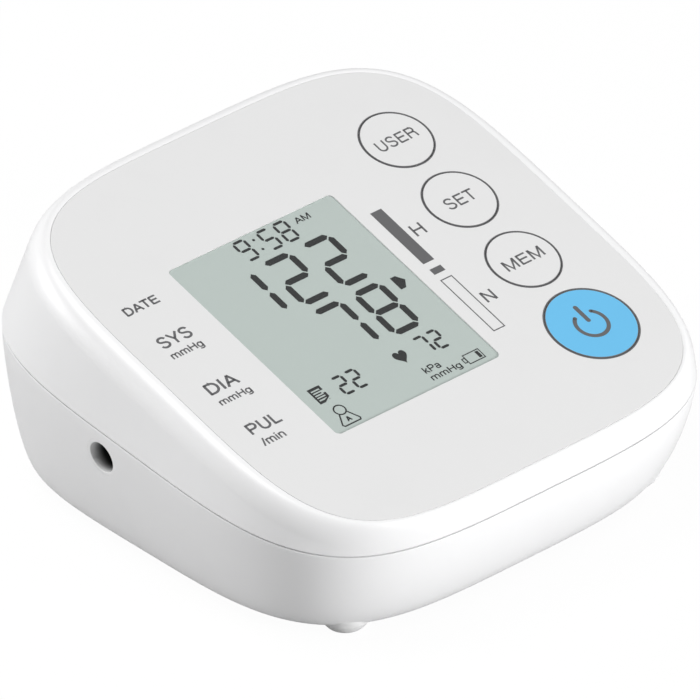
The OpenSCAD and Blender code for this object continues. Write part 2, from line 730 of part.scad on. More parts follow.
module air_manifold() color("whitesmoke") {
  x0 = manifold_x[0];
  x1 = manifold_x[1];
  side = [x0 + 2.5, x1 - 2.5];
  difference() {
    union() {
      block([x0, socket_y - manifold_half, socket_z - manifold_half],
        [x1, socket_y + manifold_half, socket_z + manifold_half]);
      bar_x(x0 - nipple_len, x1 - x0 + 2 * nipple_len, nipple_r, socket_y, socket_z);
      for (x = side) translate([x, socket_y, socket_z]) rotate([-90, 0, 0])
        cylinder(h = manifold_half + nipple_len, r = nipple_r);
    }
    bar_x(x0 - nipple_len - cut, x1 - x0 + 2 * (nipple_len + cut), air_r, socket_y, socket_z);
    for (x = side) translate([x, socket_y, socket_z]) rotate([-90, 0, 0])
      cylinder(h = manifold_half + nipple_len + cut, r = air_r);
  }
}

module straight_hose(x0, x1) color("lightgray") difference() {
  bar_x(x0, x1 - x0, hose_r, socket_y, socket_z);
  bar_x(x0 - cut, x1 - x0 + 2 * cut, nipple_r + 0.02, socket_y, socket_z);
}

module socket_hose() straight_hose(socket_end_x, manifold_x[0]);
module valve_hose() straight_hose(manifold_x[1], valve_x - 2);

// A hose from the manifold's nipple at x to another nipple: its seat and its tip.
module nipple_hose(x, seat, tip, i, k) color("lightgray") {
  start = [x, socket_y + manifold_half, socket_z];
  out = start + [0, nipple_len, 0];
  leave = out + [0, hose_lead, 0];
  arrive = tip + hose_lead * unit(tip - seat);
  hose(curve(concat([start, out, leave], bend(leave, arrive, i, k), [arrive, tip, seat]), 3));
}

module pump_hose() nipple_hose(manifold_x[0] + 2.5, [pump_x, pump_y, pump_z],
  [pump_x - nipple_len, pump_y, pump_z], 1, 0);

module sensor_hose() nipple_hose(manifold_x[1] - 2.5, face_point(sensor_at, board_back + sensor_h),
  face_point(sensor_at, board_back + sensor_h + nipple_len), 1, 2);

module pump_head() color("gray") difference() {
  union() {
    bar_x(pump_x, head_len, pump_r, pump_y, pump_z);
    bar_x(pump_x - nipple_len, nipple_len + 1, nipple_r, pump_y, pump_z);
  }
  bar_x(pump_x - nipple_len - cut, nipple_len + 4, air_r, pump_y, pump_z);
  bar_x(motor_x - 12, 12 + cut, crank_r + 4, pump_y, pump_z);
  for (x = [pump_x + 2.6, motor_x - 14]) difference() {
    bar_x(x, 0.8, pump_r + 1, pump_y, pump_z);
    bar_x(x - cut, 0.8 + 2 * cut, pump_r - 0.8, pump_y, pump_z);
  }
}

module pump_motor() color("silver") {
  difference() {
    bar_x(motor_x, motor_len, motor_r, pump_y, pump_z);
    bar_x(motor_x + 1.4, motor_len - 2.8, motor_r - 1, pump_y, pump_z);
    bar_x(motor_x - cut, motor_len + 2 * cut, 1 + run_gap, pump_y, pump_z);
  }
  for (y = [-1, 1]) block([pump_end_x, pump_y + y * 6 - 1, pump_z - 0.25],
    [pump_end_x + 2.5, pump_y + y * 6 + 1, pump_z + 0.25]);
}

// Armature, shaft and the eccentric that works the pump's diaphragm.
module motor_rotor() color("darkgray") {
  bar_x(motor_x - 8, motor_len + 9, 1, pump_y, pump_z);
  difference() {
    bar_x(motor_x + 5, motor_len - 10, motor_r - 2.6, pump_y, pump_z);
    for (a = [0 : 120 : 240]) translate([motor_x, pump_y, pump_z]) rotate([a, 0, 0])
      translate([0, -1, motor_r - 6]) cube([motor_len, 2, 6]);
  }
  bar_x(motor_x - 8, 4, crank_r, pump_y, pump_z + 1.5);
}

module pump_sleeve() color("dimgray") difference() {
  bar_x(sleeve_x[0], sleeve_x[1] - sleeve_x[0], pump_r, pump_y, pump_z);
  bar_x(sleeve_x[0] - cut, motor_len, motor_r + 0.02, pump_y, pump_z);
}

// Strap over the sleeve, screwed to two posts of the case.
module pump_clamp() color("white") difference() {
  union() {
    bar_x(clamp_x - clamp_w / 2, clamp_w, pump_r + 0.02 + clamp_t, pump_y, pump_z);
    block([clamp_x - clamp_w / 2, pump_y - clamp_ear - 3, pump_z],
      [clamp_x + clamp_w / 2, pump_y + clamp_ear + 3, pump_z + clamp_t]);
  }
  bar_x(clamp_x - clamp_w, 2 * clamp_w, pump_r + 0.02, pump_y, pump_z);
  block([clamp_x - clamp_w, pump_y - case_w / 2, pump_z - pump_r - 5],
    [clamp_x + clamp_w, pump_y + case_w / 2, pump_z]);
  for (y = [-1, 1]) translate([clamp_x, pump_y + y * clamp_ear, pump_z - cut])
    cylinder(h = clamp_t + 2 * cut, r = board_screw_r + 0.1);
}

module valve_frame() color("silver") difference() {
  union() {
    for (x = [valve_x, valve_x + valve_len - yoke_t])
      block([x, socket_y - yoke_half, roof_top_z], [x + yoke_t, socket_y + yoke_half, socket_z + 5.5]);
    block([valve_x, socket_y - yoke_half, roof_top_z],
      [valve_x + valve_len, socket_y + yoke_half, roof_top_z + yoke_t]);
    bar_x(valve_x - 2, 2, 3.5, socket_y, socket_z);
    bar_x(valve_x - 2 - nipple_len, nipple_len, nipple_r, socket_y, socket_z);
  }
  bar_x(valve_x - 3 - nipple_len, nipple_len + 3 + yoke_t + 0.5, air_r, socket_y, socket_z);
}

// Coil on its bobbin, open at the front for the plunger.
module valve_coil() color("peru") {
  x0 = valve_x + yoke_t;
  x1 = valve_x + valve_len - yoke_t;
  difference() {
    bar_x(x0, x1 - x0, valve_coil_r, socket_y, socket_z);
    difference() {
      bar_x(x0 + 1, x1 - x0 - 2, valve_coil_r + 1, socket_y, socket_z);
      bar_x(x0, x1 - x0, valve_coil_r - 0.5, socket_y, socket_z);
    }
    bar_x(x0 - cut, x1 - x0 - 2 + cut, 2 + run_gap, socket_y, socket_z);
  }
}

module valve_plunger() color("silver")
  bar_x(valve_x + yoke_t + 0.2, valve_len - 2 * yoke_t - 2.6 - valve_travel, 2, socket_y, socket_z);

// ---- Batteries ----

// Cell i of four, its nub to the back on the even ones.
module each_cell() for (i = [0 : 3])
  translate([(i - 1.5) * cell_pitch, (bay_front_y + bay_rear_y) / 2, cell_z])
    rotate([0, 0, i % 2 == 0 ? 0 : 180]) translate([0, -bay_len / 2 + plate_t, 0])
      rotate([-90, 0, 0]) children();

module battery_cells() color("goldenrod") each_cell() translate([0, 0, spring_len])
  rotate_extrude() polygon([[0, 0], [cell_d / 2 - 0.6, 0], [cell_d / 2, 0.6],
    [cell_d / 2, cell_len - 1.8], [cell_d / 2 - 0.6, cell_len - 1.2], [2.7, cell_len - 1.2],
    [2.7, cell_len], [0, cell_len]]);

// Middle line of a conical contact spring, wide end on its plate.
spring_line = [for (k = [0 : 8 * spring_turns]) let (
    t = k / (8 * spring_turns),
    r = 5.2 - 2.2 * t,
    a = 45 * k)
  [r * cos(a), r * sin(a), wire_r + (spring_len - 2 * wire_r) * t]];
spring_clear = min([for (k = [0 : len(spring_line) - 9])
  norm(spring_line[k + 8] - spring_line[k])]) - 2 * wire_r;
echo(least_gap_between_spring_curls = spring_clear);

module battery_springs() color("silver") each_cell() wire(spring_line, wire_r, 6);

module contact(x, w, y) block([x - w / 2, y, cell_z - 6], [x + w / 2, y + plate_t, cell_z + 6]);

module battery_contacts() color("silver") {
  for (x = [-1.5, 1.5]) {
    contact(x * cell_pitch, 12, bay_front_y);
    block([x * cell_pitch - 2.4, bay_front_y - bay_wall - 1.5, cell_z + 1.75],
      [x * cell_pitch + 2.4, bay_front_y, cell_z + 2.25]);
  }
  contact(0, cell_pitch + 12, bay_front_y);
  for (x = [-1, 1]) contact(x * cell_pitch, cell_pitch + 12, bay_rear_y - plate_t);
}

// Door in the underside: round front edge with two hinge stubs, snap tab at the back.
module battery_door() color("white") {
  half = bay_a - move_gap;
  rear = bay_rear_y - move_gap;
  difference() {
    union() {
      block([-half, hinge_y, foot_h], [half, rear, floor_z]);
      bar_x(-half, 2 * half, door_edge_r, hinge_y, hinge_z);
      bar_x(-half - stub_len, 2 * (half + stub_len), hinge_r, hinge_y, hinge_z);
    }
    for (x = [-8, 8]) block([x - 0.5, rear - 9, foot_h - cut], [x + 0.5, rear + cut, floor_z + cut]);
    for (i = [0 : 4]) block([-20, hinge_y + 14 + 3 * i, foot_h - cut],
      [20, hinge_y + 15 + 3 * i, foot_h + 0.5]);
  }
  block([-6.5, rear - 1.2, floor_z - 0.5], [6.5, rear, floor_z + tab_h]);
  for (x = [-1.5 : 1 : 1.5]) block([x * cell_pitch - 4, hinge_y + 8, floor_z - 0.5],
    [x * cell_pitch - 3, rear - 10, floor_z + 0.2]);
}

// ---- Leads ----

// A lead that leaves start straight by out, runs over the points via, and ends at a header.
module lead(start, out, via, header, dx) {
  h = headers[header];
  foot = face_point([h[0] + dx, h[1]], board_back + header_h);
  below = face_point([h[0] + dx, h[1]], board_back + header_h + 2);
  wire(curve(concat([start, start + out / 2, start + out], via, [below, (below + foot) / 2, foot]), 3),
    lead_r, 6);
}

module motor_leads() color("crimson") for (s = [-1, 1]) {
  x = pump_end_x + 2.5;
  y = pump_y + s * 6;
  lead([x, y, pump_z], [1.5, 0, 0], [[x + 2.6, y - 1.5, pump_z + 3],
    [x + 2.2, pump_y - 6 + s * 2, pump_z + 13]], 2, -s * 2);
}

module valve_leads() color("black") for (s = [-1, 1]) {
  x = valve_x + valve_len;
  lead([x, socket_y + s * 3, socket_z + 3], [1.5, 0, 0],
    [[x + 2.4, socket_y + s * 2, socket_z + 6]], 1, s * 2);
}

module battery_leads() color("firebrick") for (s = [-1, 1]) {
  x = s * 1.5 * cell_pitch;
  y = bay_front_y - bay_wall - 1.5;
  lead([x, y, cell_z + 2], [0, -1.2, 0], [[x - s * 1.5, y - 1.6, cell_z + 6],
    [x - s * 8, y + 1.6, roof_top_z + 1.6]], 0, s * 2);
}

upper_cover();
lower_case();
face_panel();
display_window();
lcd_glass();
lcd_frame();
lcd_contacts();
user_button();
set_button();
memory_button();
power_button();
user_plunger();
set_plunger();
memory_plunger();
power_plunger();
switch_bodies();
main_board();
processor();
capacitors();
buzzer();
pressure_sensor();
board_headers();
small_screws();
pump_motor();
motor_rotor();
pump_head();
pump_sleeve();
pump_clamp();
valve_frame();
valve_coil();
valve_plunger();
air_manifold();
cuff_socket();
socket_hose();
valve_hose();
pump_hose();
sensor_hose();
battery_door();
battery_cells();
battery_springs();
battery_contacts();
rubber_feet();
case_screws();
motor_leads();
valve_leads();
battery_leads();
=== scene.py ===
"""Dresses a desktop blood pressure monitor: smooth housing, printed panel, keys, display,
air socket, feet and battery bay, on a pale studio floor.

Lengths in the code are millimetres unless a name says otherwise; pieces are written in metres.
"""

import json
import math

import bmesh
import bpy
from mathutils import Matrix, Vector


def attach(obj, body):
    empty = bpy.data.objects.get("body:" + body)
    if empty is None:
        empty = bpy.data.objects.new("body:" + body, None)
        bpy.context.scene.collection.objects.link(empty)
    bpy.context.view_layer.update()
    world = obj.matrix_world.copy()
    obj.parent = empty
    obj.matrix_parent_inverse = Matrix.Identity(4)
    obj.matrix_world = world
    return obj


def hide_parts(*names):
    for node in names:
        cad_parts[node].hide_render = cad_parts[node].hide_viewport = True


bl_info = {
    "name": "Blood Pressure Monitor",
    "version": (1, 0, 0),
    "blender": (4, 5, 0),
    "location": "3D View > Sidebar > Monitor",
    "description": "Builds the visible pieces of a desktop blood pressure monitor",
    "category": "Add Mesh",
}

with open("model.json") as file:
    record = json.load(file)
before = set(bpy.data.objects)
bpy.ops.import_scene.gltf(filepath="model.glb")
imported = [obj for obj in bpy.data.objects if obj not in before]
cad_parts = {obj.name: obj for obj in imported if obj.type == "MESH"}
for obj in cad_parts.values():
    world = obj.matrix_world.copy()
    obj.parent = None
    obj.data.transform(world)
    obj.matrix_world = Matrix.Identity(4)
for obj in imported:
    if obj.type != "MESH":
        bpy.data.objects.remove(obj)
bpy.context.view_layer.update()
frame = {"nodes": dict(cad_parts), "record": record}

MM = 0.001
CASE = "case"
OUTLINE = 256  # points round a housing outline
SHARP_ANGLE = math.radians(34)  # edges that turn further are shaded sharp

# Housing sizes, as in the part's source.
CASE_W, CASE_D = 136.2, 134.6
FACE_Z, FACE_FRONT, TILT = 50.4, 6.1, math.radians(16.2)
REAR_SEAM_Z, FRONT_BAND, SEAM_GAP = 40.4, 0.5, 0.3
WALL, FLOOR_T, FOOT_H = 2.2, 2.2, 2.6
BASE_IN_SIDE, BASE_IN_FRONT, BASE_IN_BACK, BELLY_ROUND = 6.7, 8.4, 3.6, 1.41
PANEL_A, PANEL_B, PANEL_N = 61.0, 61.5, 4.43
SHOULDER_DROP, SHOULDER_IN, SHOULDER_END, SHOULDER_N = 6.1, 1.7, 4.4, 3.95
SEAM_N, BASE_N = 3.88, 3.82
RIM_W, PANEL_GAP, PANEL_T, DECK_DEPTH = 0.5, 0.1, 1.6, 3.6
COS_T, SIN_T = math.cos(TILT), math.sin(TILT)
SHOULDER_A, SHOULDER_BACK = CASE_W / 2 - SHOULDER_IN, PANEL_B + SHOULDER_END
SHOULDER_FRONT = (CASE_D / 2 - FACE_FRONT + SHOULDER_DROP * SIN_T) / COS_T
FRONT_SEAM_Z = FACE_Z - SHOULDER_FRONT * SIN_T - SHOULDER_DROP * COS_T - FRONT_BAND
SEAM_TILT = math.atan((REAR_SEAM_Z - FRONT_SEAM_Z) / CASE_D)
SEAM_Z = (REAR_SEAM_Z + FRONT_SEAM_Z) / 2
SEAM_A, SEAM_B = CASE_W / 2, CASE_D / 2 / math.cos(SEAM_TILT)
BASE_A, BASE_B = CASE_W / 2 - BASE_IN_SIDE, (CASE_D - BASE_IN_FRONT - BASE_IN_BACK) / 2
BASE_Y = (BASE_IN_FRONT - BASE_IN_BACK) / 2
TONGUE_IN, TONGUE_OUT, TONGUE_H = 3.5, 2.5, 1.0
SEAM_EDGE, SEAM_ARC, ARC_MID = 0.25, 0.07, 0.29  # rounded edges at the parting line and the rim
CUT = 1.0  # how far a cutting shape reaches past what it cuts
FACE = Matrix.Translation((0, -FACE_FRONT, FACE_Z)) @ Matrix.Rotation(TILT, 4, "X")
UP, ALONG_X = (0, 0, 1), Matrix.Rotation(math.pi / 2, 4, "Y")

# Display, keys, bay and feet.
WINDOW = (50.6, 60.8, 1.4, -11.2, -1.0)  # width, height, corner, x, y
LENS_GAP, FILM_BOTTOM = 0.03, 2.5
VIEW_SLANT = (0.83, 0.66)  # how the sunk image moves along the camera's line, per depth
LENS_ROOM, FLANGE_ROOM = 4.6, 1.5  # wider than the window, and round a key's hole, in the deck
KEY_X, WORD_HALF_H = 39.7, 1.83
KEYS = {"user": (9.0, 34.9), "set": (9.0, 12.3), "memory": (9.0, -10.3), "power": (11.2, -34.4)}
PLUNGER_DEPTH, KEY_PROUD, STEM_R, FLANGE_LIP = 3.9, 0.1, 3.0, 0.9
FLANGE_TOP, FLANGE_LOW = -1.9, -2.9
SMALL_RING_W, POWER_RING_W = 0.27, 0.33  # printed rings round the keys
PRINT_SUNK = 0.01  # print is let in, so that its underside never shows
FEET = [(x, y) for x in (-45.0, 45.0) for y in (-48.1, 51.7)]
FOOT_R, FOOT_TIP_R, FOOT_SEAT = 6.2, 4.3, 2.6
POST_R, SINK_R, SINK_DEPTH, SCREW_HOLE_R = 4.4, 3.0, 5.0, 1.5
SCREWS = [(x, y, top) for x in (-55.0, 55.0) for y, top in ((-34.0, 18.0), (38.0, 24.0))]
BAY_A, BAY_FRONT, BAY_REAR, BAY_ROOF, BAY_WALL = 31.2, -44.0, 13.0, 19.8, 1.8
SOCKET_X, SOCKET_Y, SOCKET_Z, SOCKET_BORE_R, SOCKET_SLEEVE_R = -66.9, 10.1, 27.0, 3.9, 4.8
SOCKET_BOSS_R, SOCKET_HOLE_R, SOCKET_SEAT, SOCKET_END = 7.5, 4.82, 3.2, 13
CELL_Z, CELL_PITCH, CELL_R, CELL_LEN, SPRING_LEN, PLATE_T = 12.2, 15.2, 7.1, 50.5, 5.7, 0.4
# Along a cell's jacket: its minus sign, where its band starts, its plus sign and that sign's bar.
MINUS, BAND_FROM, PLUS, PLUS_BAR = (3.6, 4.5), 35, (41.2, 45.1), (42.7, 43.6)
HINGE_Y, HINGE_Z, DOOR_EDGE_R, HINGE_R, HINGE_HOLE_R = -42.6, 3.7, 1.1, 0.7, 0.75
DOOR_GAP, NOTCH_R = 0.3, 8.0
BOARD_BACK, HEADER_H, HEADERS = 9.6, 5.5, ((0, -38), (12, 12), (40, 32))  # battery, valve, motor
PUMP_X, PUMP_Y, PUMP_Z, PUMP_END = -14.0, 42.0, 19.8, 41.0
NIPPLE_LEN, MANIFOLD_X, MANIFOLD_HALF, VALVE_X, VALVE_LEN = 5.5, (-40.0, -28.0), 4.5, -8.0, 20.0
SENSOR_AT, SENSOR_H = (-22, 31), 4.0
COIL_R = SOCKET_Z - (BAY_ROOF + BAY_WALL) - 1 - 0.05  # down to the yoke on the bay's roof
NIPPLE_R, HOSE_R, HOSE_BORE_R, LEAD_R = 2.0, 3.0, 2.03, 0.6


# ---- Outlines and meshes ----


def squircle(a, b, power, turn):
    """Point of a superellipse of half sizes a and b in the direction turn."""
    c, s = math.cos(turn), math.sin(turn)
    reach = (abs(c) ** power + abs(s) ** power) ** (-1 / power)
    return Vector((a * reach * c, b * reach * s))


def lopsided(a, back, front, power, turn):
    """The same, reaching further one way in y than the other."""
    return squircle(a, (back + front) / 2, power, turn) + Vector((0, (back - front) / 2))


def on_face(p, depth):
    """A point of the sloping face's plane, sunk by depth."""
    return FACE @ Vector((p.x, p.y, -depth))


def on_seam(p, lift=0.0):
    """A point of the parting plane, raised by lift."""
    return Vector((p.x, p.y * math.cos(SEAM_TILT), SEAM_Z + p.y * math.sin(SEAM_TILT) + lift))


def loft(rings, count=OUTLINE, joined=False):
    """A skin through rings, each a function of the turn; ends are capped, or joined up."""
    bm = bmesh.new()
    turn = bm.verts.layers.float.new("turn")
    verts = bmesh.ops.create_circle(bm, segments=count, radius=1)["verts"]
    for v in verts:
        v[turn] = math.atan2(v.co.y, v.co.x)
        v.co = rings[0](v[turn])
    first = edges = list(bm.edges)
    for ring in rings[1:]:
        grown = bmesh.ops.extrude_edge_only(bm, edges=edges)["geom"]
        verts = {g for g in grown if isinstance(g, bmesh.types.BMVert)}
        edges = [g for g in grown if isinstance(g, bmesh.types.BMEdge) and verts >= set(g.verts)]
        for v in verts:
            v.co = ring(v[turn])
    if joined:
        bmesh.ops.bridge_loops(bm, edges=first + edges)
    else:
        for loop in (first, edges):
            bmesh.ops.contextual_create(bm, geom=loop)
    bmesh.ops.recalc_face_normals(bm, faces=bm.faces)
    return bm


def spun(profile, axis_point, axis, steps=64):
    """A closed ring of revolution: profile points are (along the axis, radius)."""
    bm = bmesh.new()
    chain = [bm.verts.new((r, 0, z)) for z, r in profile]
    edges = [bm.edges.new((a, b)) for a, b in zip(chain, chain[1:] + chain[:1])]
    bmesh.ops.spin(bm, geom=chain + edges, cent=(0, 0, 0), axis=(0, 0, 1), angle=math.tau,
                   steps=steps, use_merge=True)
    bmesh.ops.remove_doubles(bm, verts=bm.verts, dist=1e-4)
    bmesh.ops.dissolve_degenerate(bm, edges=bm.edges, dist=1e-4)
    bmesh.ops.recalc_face_normals(bm, faces=bm.faces)
    bm.transform(Matrix.Translation(axis_point) @ axis)
    return bm


def smooth_route(route, steps=8):
    """Points of a smooth curve through the given ones (Catmull-Rom)."""
    route = [Vector(p) for p in route]
    last = len(route) - 1
    points = []
    for i in range(last):
        a, b, c, d = route[max(i - 1, 0)], route[i], route[i + 1], route[min(i + 2, last)]
        for k in range(steps + (i == last - 1)):
            t = k / steps
            points.append((2 * b + (c - a) * t + (2 * a - 5 * b + 4 * c - d) * t * t
                           + (3 * b - a - 3 * c + d) * t ** 3) / 2)
    return points


def tube(points, radius, sides=24, bore=0.0):
    """A round wire along points, or a hose where it has a bore."""
    last = len(points) - 1
    along = [(points[min(i + 1, last)] - points[max(i - 1, 0)]).normalized()
             for i in range(last + 1)]
    side = along[0].orthogonal().normalized()
    frames = []
    for point, way in zip(points, along):
        side = (side - way * side.dot(way)).normalized()
        frames.append((point, side.copy(), way.cross(side)))

    def ring(at, reach):
        point, u, v = at
        return lambda turn: point + (u * math.cos(turn) + v * math.sin(turn)) * reach

    skin = [ring(at, radius) for at in frames]
    if bore:
        skin += [ring(at, bore) for at in reversed(frames)]
    return loft(skin, sides, joined=bool(bore))


def block(bm, low, high):
    """A cuboid between two corners."""
    low, high = Vector(low), Vector(high)
    bmesh.ops.create_cube(bm, size=1, matrix=Matrix.Translation((low + high) / 2)
                          @ Matrix.Diagonal((*(high - low), 1)))


def rod(bm, foot, direction, length, radius, sides=48):
    """A cylinder from foot along direction."""
    turn = Vector((0, 0, 1)).rotation_difference(Vector(direction)).to_matrix().to_4x4()
    place = Matrix.Translation(Vector(foot) + Vector(direction) * length / 2) @ turn
    bmesh.ops.create_cone(bm, cap_ends=True, segments=sides, radius1=radius, radius2=radius,
                          depth=length, matrix=place)


def rounded(bm, edges, radius, segments):
    """Rounds some edges."""
    bmesh.ops.bevel(bm, geom=edges, offset=radius, offset_type="OFFSET", segments=segments,
                    profile=0.5, affect="EDGES", material=-1)


def rounded_plate(bm, width, height, corner, z0, z1, x=0.0, y=0.0, edge=0.0):
    """A flat plate with round corners, and a rounded upper edge where edge is given."""
    made = bmesh.ops.create_cube(bm, size=1, matrix=Matrix.Translation((x, y, (z0 + z1) / 2))
                                 @ Matrix.Diagonal((width, height, z1 - z0, 1)))["verts"]
    faces = {f for v in made for f in v.link_faces}
    edges = {e for f in faces for e in f.edges}
    upright = [e for e in edges if abs(e.verts[0].co.z - e.verts[1].co.z) > 1e-6]
    rounded(bm, upright, corner, 10)
    if edge:
        rim = [e for e in bm.edges if all(abs(v.co.z - z1) < 1e-6 for v in e.verts)]
        rounded(bm, rim, edge, 4)


def carved(bm, tool, operation="DIFFERENCE"):
    """The exact boolean of two closed meshes; both are used up."""
    holders = []
    for part in (bm, tool):
        mesh = bpy.data.meshes.new("work")
        part.to_mesh(mesh)
        part.free()
        holder = bpy.data.objects.new("work", mesh)
        bpy.context.scene.collection.objects.link(holder)
        holders.append(holder)
    body, cutter = holders
    step = body.modifiers.new("carve", "BOOLEAN")
    step.operation, step.solver, step.object = operation, "EXACT", cutter
    graph = bpy.context.evaluated_depsgraph_get()
    made = bpy.data.meshes.new_from_object(body.evaluated_get(graph))
    out = bmesh.new()
    out.from_mesh(made)
    for holder in holders:
        mesh = holder.data
        bpy.data.objects.remove(holder)
        bpy.data.meshes.remove(mesh)
    bpy.data.meshes.remove(made)
    return out


def piece(bm, name, body, slot, *materials, replaces=(), place=None, weighted=False):
    """Makes the millimetre mesh a piece that rides on a body."""
    if not bm.faces:
        raise RuntimeError(f"{name} came out with no faces")
    bm.transform(Matrix.Scale(MM, 4) @ (place or Matrix()))
    mesh = bpy.data.meshes.new(name)
    bm.to_mesh(mesh)
    bm.free()
    for material in materials:
        mesh.materials.append(material)
    mesh.shade_smooth()
    mesh.set_sharp_from_angle(angle=SHARP_ANGLE)
    obj = bpy.data.objects.new(name, mesh)
    bpy.context.scene.collection.objects.link(obj)
    if weighted:
        normals = obj.modifiers.new("even shading", "WEIGHTED_NORMAL")
        normals.keep_sharp = True
    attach(obj, body)
    if replaces:
        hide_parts(*replaces)
    return obj


# ---- Materials ----


def feed(tree, node, inputs):
    """Gives each input its value, or links it to the socket that it comes from."""
    for key, value in inputs.items():
        if isinstance(value, bpy.types.NodeSocket):
            tree.links.new(value, node.inputs[key])
        else:
            node.inputs[key].default_value = value


def add_node(tree, kind, inputs=None, **settings):
    """A shader node with its settings and inputs."""
    node = tree.nodes.new("ShaderNode" + kind)
    for name, value in settings.items():
        setattr(node, name, value)
    feed(tree, node, inputs or {})
    return node


def math_node(tree, operation, a, b, clamp=False):
    return add_node(tree, "Math", {0: a, 1: b}, operation=operation, use_clamp=clamp).outputs[0]


def scaled(tree, vector, factor):
    return add_node(tree, "VectorMath", {0: vector, "Scale": factor}, operation="SCALE").outputs[0]


def object_place(tree):
    return add_node(tree, "TexCoord").outputs["Object"]


COLOR, FLOAT, VECTOR = "NodeSocketColor", "NodeSocketFloat", "NodeSocketVector"
WHITE = (1, 1, 1, 1)


def shader_group(name, inputs, outputs, build):
    """The node group of that name; build makes its nodes once and gives what each output shows."""
    if name in bpy.data.node_groups:
        return bpy.data.node_groups[name]
    group = bpy.data.node_groups.new(name, "ShaderNodeTree")
    for label, value in inputs.items():
        kind = COLOR if label == "Colour" else VECTOR if label == "Stretch" else FLOAT
        group.interface.new_socket(label, in_out="INPUT", socket_type=kind).default_value = value
    for label in outputs:
        kind = COLOR if label == "Colour" else FLOAT
        group.interface.new_socket(label, in_out="OUTPUT", socket_type=kind)
    source, sink = group.nodes.new("NodeGroupInput"), group.nodes.new("NodeGroupOutput")
    for label, result in zip(outputs, build(group, source.outputs)):
        group.links.new(result, sink.inputs[label])
    return group


def surface_group():
    """Moulded, drawn or printed surface: fine grain for the height, broad tone and gloss drift."""
    def build(group, given):
        place = add_node(group, "VectorMath", {0: object_place(group), 1: given["Stretch"]},
                         operation="MULTIPLY").outputs[0]
        grain, patch = (
            add_node(group, "TexNoise", {"Vector": place, "Scale": given[scale], "Detail": steps})
            .outputs["Fac"] for scale, steps in (("Grain scale", 3), ("Patch scale", 2)))
        mixed = math_node(group, "ADD", math_node(group, "MULTIPLY", grain, 0.4),
                          math_node(group, "MULTIPLY", patch, 0.6))
        swing = math_node(group, "SUBTRACT", mixed, 0.5)
        drift = math_node(group, "MULTIPLY", swing, given["Tone drift"])
        tone = math_node(group, "ADD", drift, 1.0)
        gloss = math_node(group, "MULTIPLY", swing, given["Gloss drift"])
        return (scaled(group, given["Colour"], tone),
                math_node(group, "ADD", gloss, given["Roughness"], True), grain)

    return shader_group("Surface grain", {
        "Colour": WHITE, "Tone drift": 0.03, "Roughness": 0.4, "Gloss drift": 0.05,
        "Grain scale": 4000.0, "Patch scale": 45.0, "Stretch": (1, 1, 1)},
        ("Colour", "Roughness", "Height"), build)


def wear_group():
    """Handling: a mask of faint rubbed patches that soil the colour and dull the gloss."""
    def build(group, given):
        marks = add_node(group, "TexNoise", {"Vector": object_place(group), "Scale": given["Size"],
                                             "Detail": 5}).outputs["Fac"]
        edge = add_node(group, "MapRange", {"Value": marks, "From Min": 0.52, "From Max": 0.74})
        mask = math_node(group, "MULTIPLY", edge.outputs["Result"], given["Amount"])
        kept = math_node(group, "SUBTRACT", 1.0, math_node(group, "MULTIPLY", mask, 0.12))
        return (scaled(group, given["Colour"], kept),
                math_node(group, "ADD", given["Roughness"],
                          math_node(group, "MULTIPLY", mask, 0.6), True))

    return shader_group("Handling marks", {
        "Colour": WHITE, "Roughness": 0.4, "Amount": 0.1, "Size": 60.0},
        ("Colour", "Roughness"), build)


def painted_bore_shade_group():
    """Painted shade down a bore along X: 1 at its mouth, nearly 0 where it is deep."""
    def build(group, given):
        x = add_node(group, "SeparateXYZ", {0: object_place(group)}).outputs["X"]
        depth = add_node(group, "MapRange", {
            "Value": x, "From Min": given["Mouth"], "From Max": given["Deep"], "To Min": 1.0,
            "To Max": 0.012}, interpolation_type="SMOOTHSTEP")
        return (scaled(group, given["Colour"], depth.outputs["Result"]),)

    return shader_group("Painted bore shade", {"Colour": WHITE, "Mouth": -0.0674, "Deep": -0.0633},
                        ("Colour",), build)


def add_group(tree, group, inputs):
    """Places a shared group in a material and gives its outputs."""
    node = add_node(tree, "Group", node_tree=group)
    feed(tree, node, inputs)
    return node.outputs


def finish_material(name, colour, roughness=0.4, tone=0.03, gloss=0.05, grain=4000.0, patch=45.0,
                    stretch=(1, 1, 1), bump=0.02, wear=0.0, **constants):
    """A procedural finish; constants go straight to the shader's own sockets."""
    if name in bpy.data.materials:
        return bpy.data.materials[name]
    material = bpy.data.materials.new(name)
    material.use_nodes = True
    tree = material.node_tree
    shader = tree.nodes["Principled BSDF"]
    surface = add_group(tree, surface_group(), {
        "Colour": (*colour[:3], 1), "Tone drift": tone, "Roughness": roughness,
        "Gloss drift": gloss, "Grain scale": grain, "Patch scale": patch, "Stretch": stretch})
    last = surface
    if wear:
        last = add_group(tree, wear_group(), {"Amount": wear, "Colour": surface["Colour"],
                                              "Roughness": surface["Roughness"]})
    tree.links.new(last["Colour"], shader.inputs["Base Color"])
    tree.links.new(last["Roughness"], shader.inputs["Roughness"])
    if bump:
        relief = add_node(tree, "Bump", {"Strength": bump, "Distance": 0.0001,
                                         "Height": surface["Height"]})
        tree.links.new(relief.outputs["Normal"], shader.inputs["Normal"])
    for label, value in constants.items():
        shader.inputs[label.replace("_", " ")].default_value = value
    return material


def shades():
    return bpy.context.scene.monitor_colours


def detail(name):
    """One of the user's lengths, in millimetres."""
    return getattr(bpy.context.scene.monitor_sizes, name) / MM


def shell_white():
    return finish_material("Moulded white shell", shades().shell, 0.38, tone=0.012, gloss=0.08,
                           grain=5200, bump=0.05, wear=0.10, Coat_Weight=0.3, Coat_Roughness=0.3)


def panel_grey():
    return finish_material("Satin panel film", shades().panel, 0.62, tone=0.012, gloss=0.06,
                           grain=9000, bump=0.04, wear=0.1, Specular_IOR_Level=0.08)


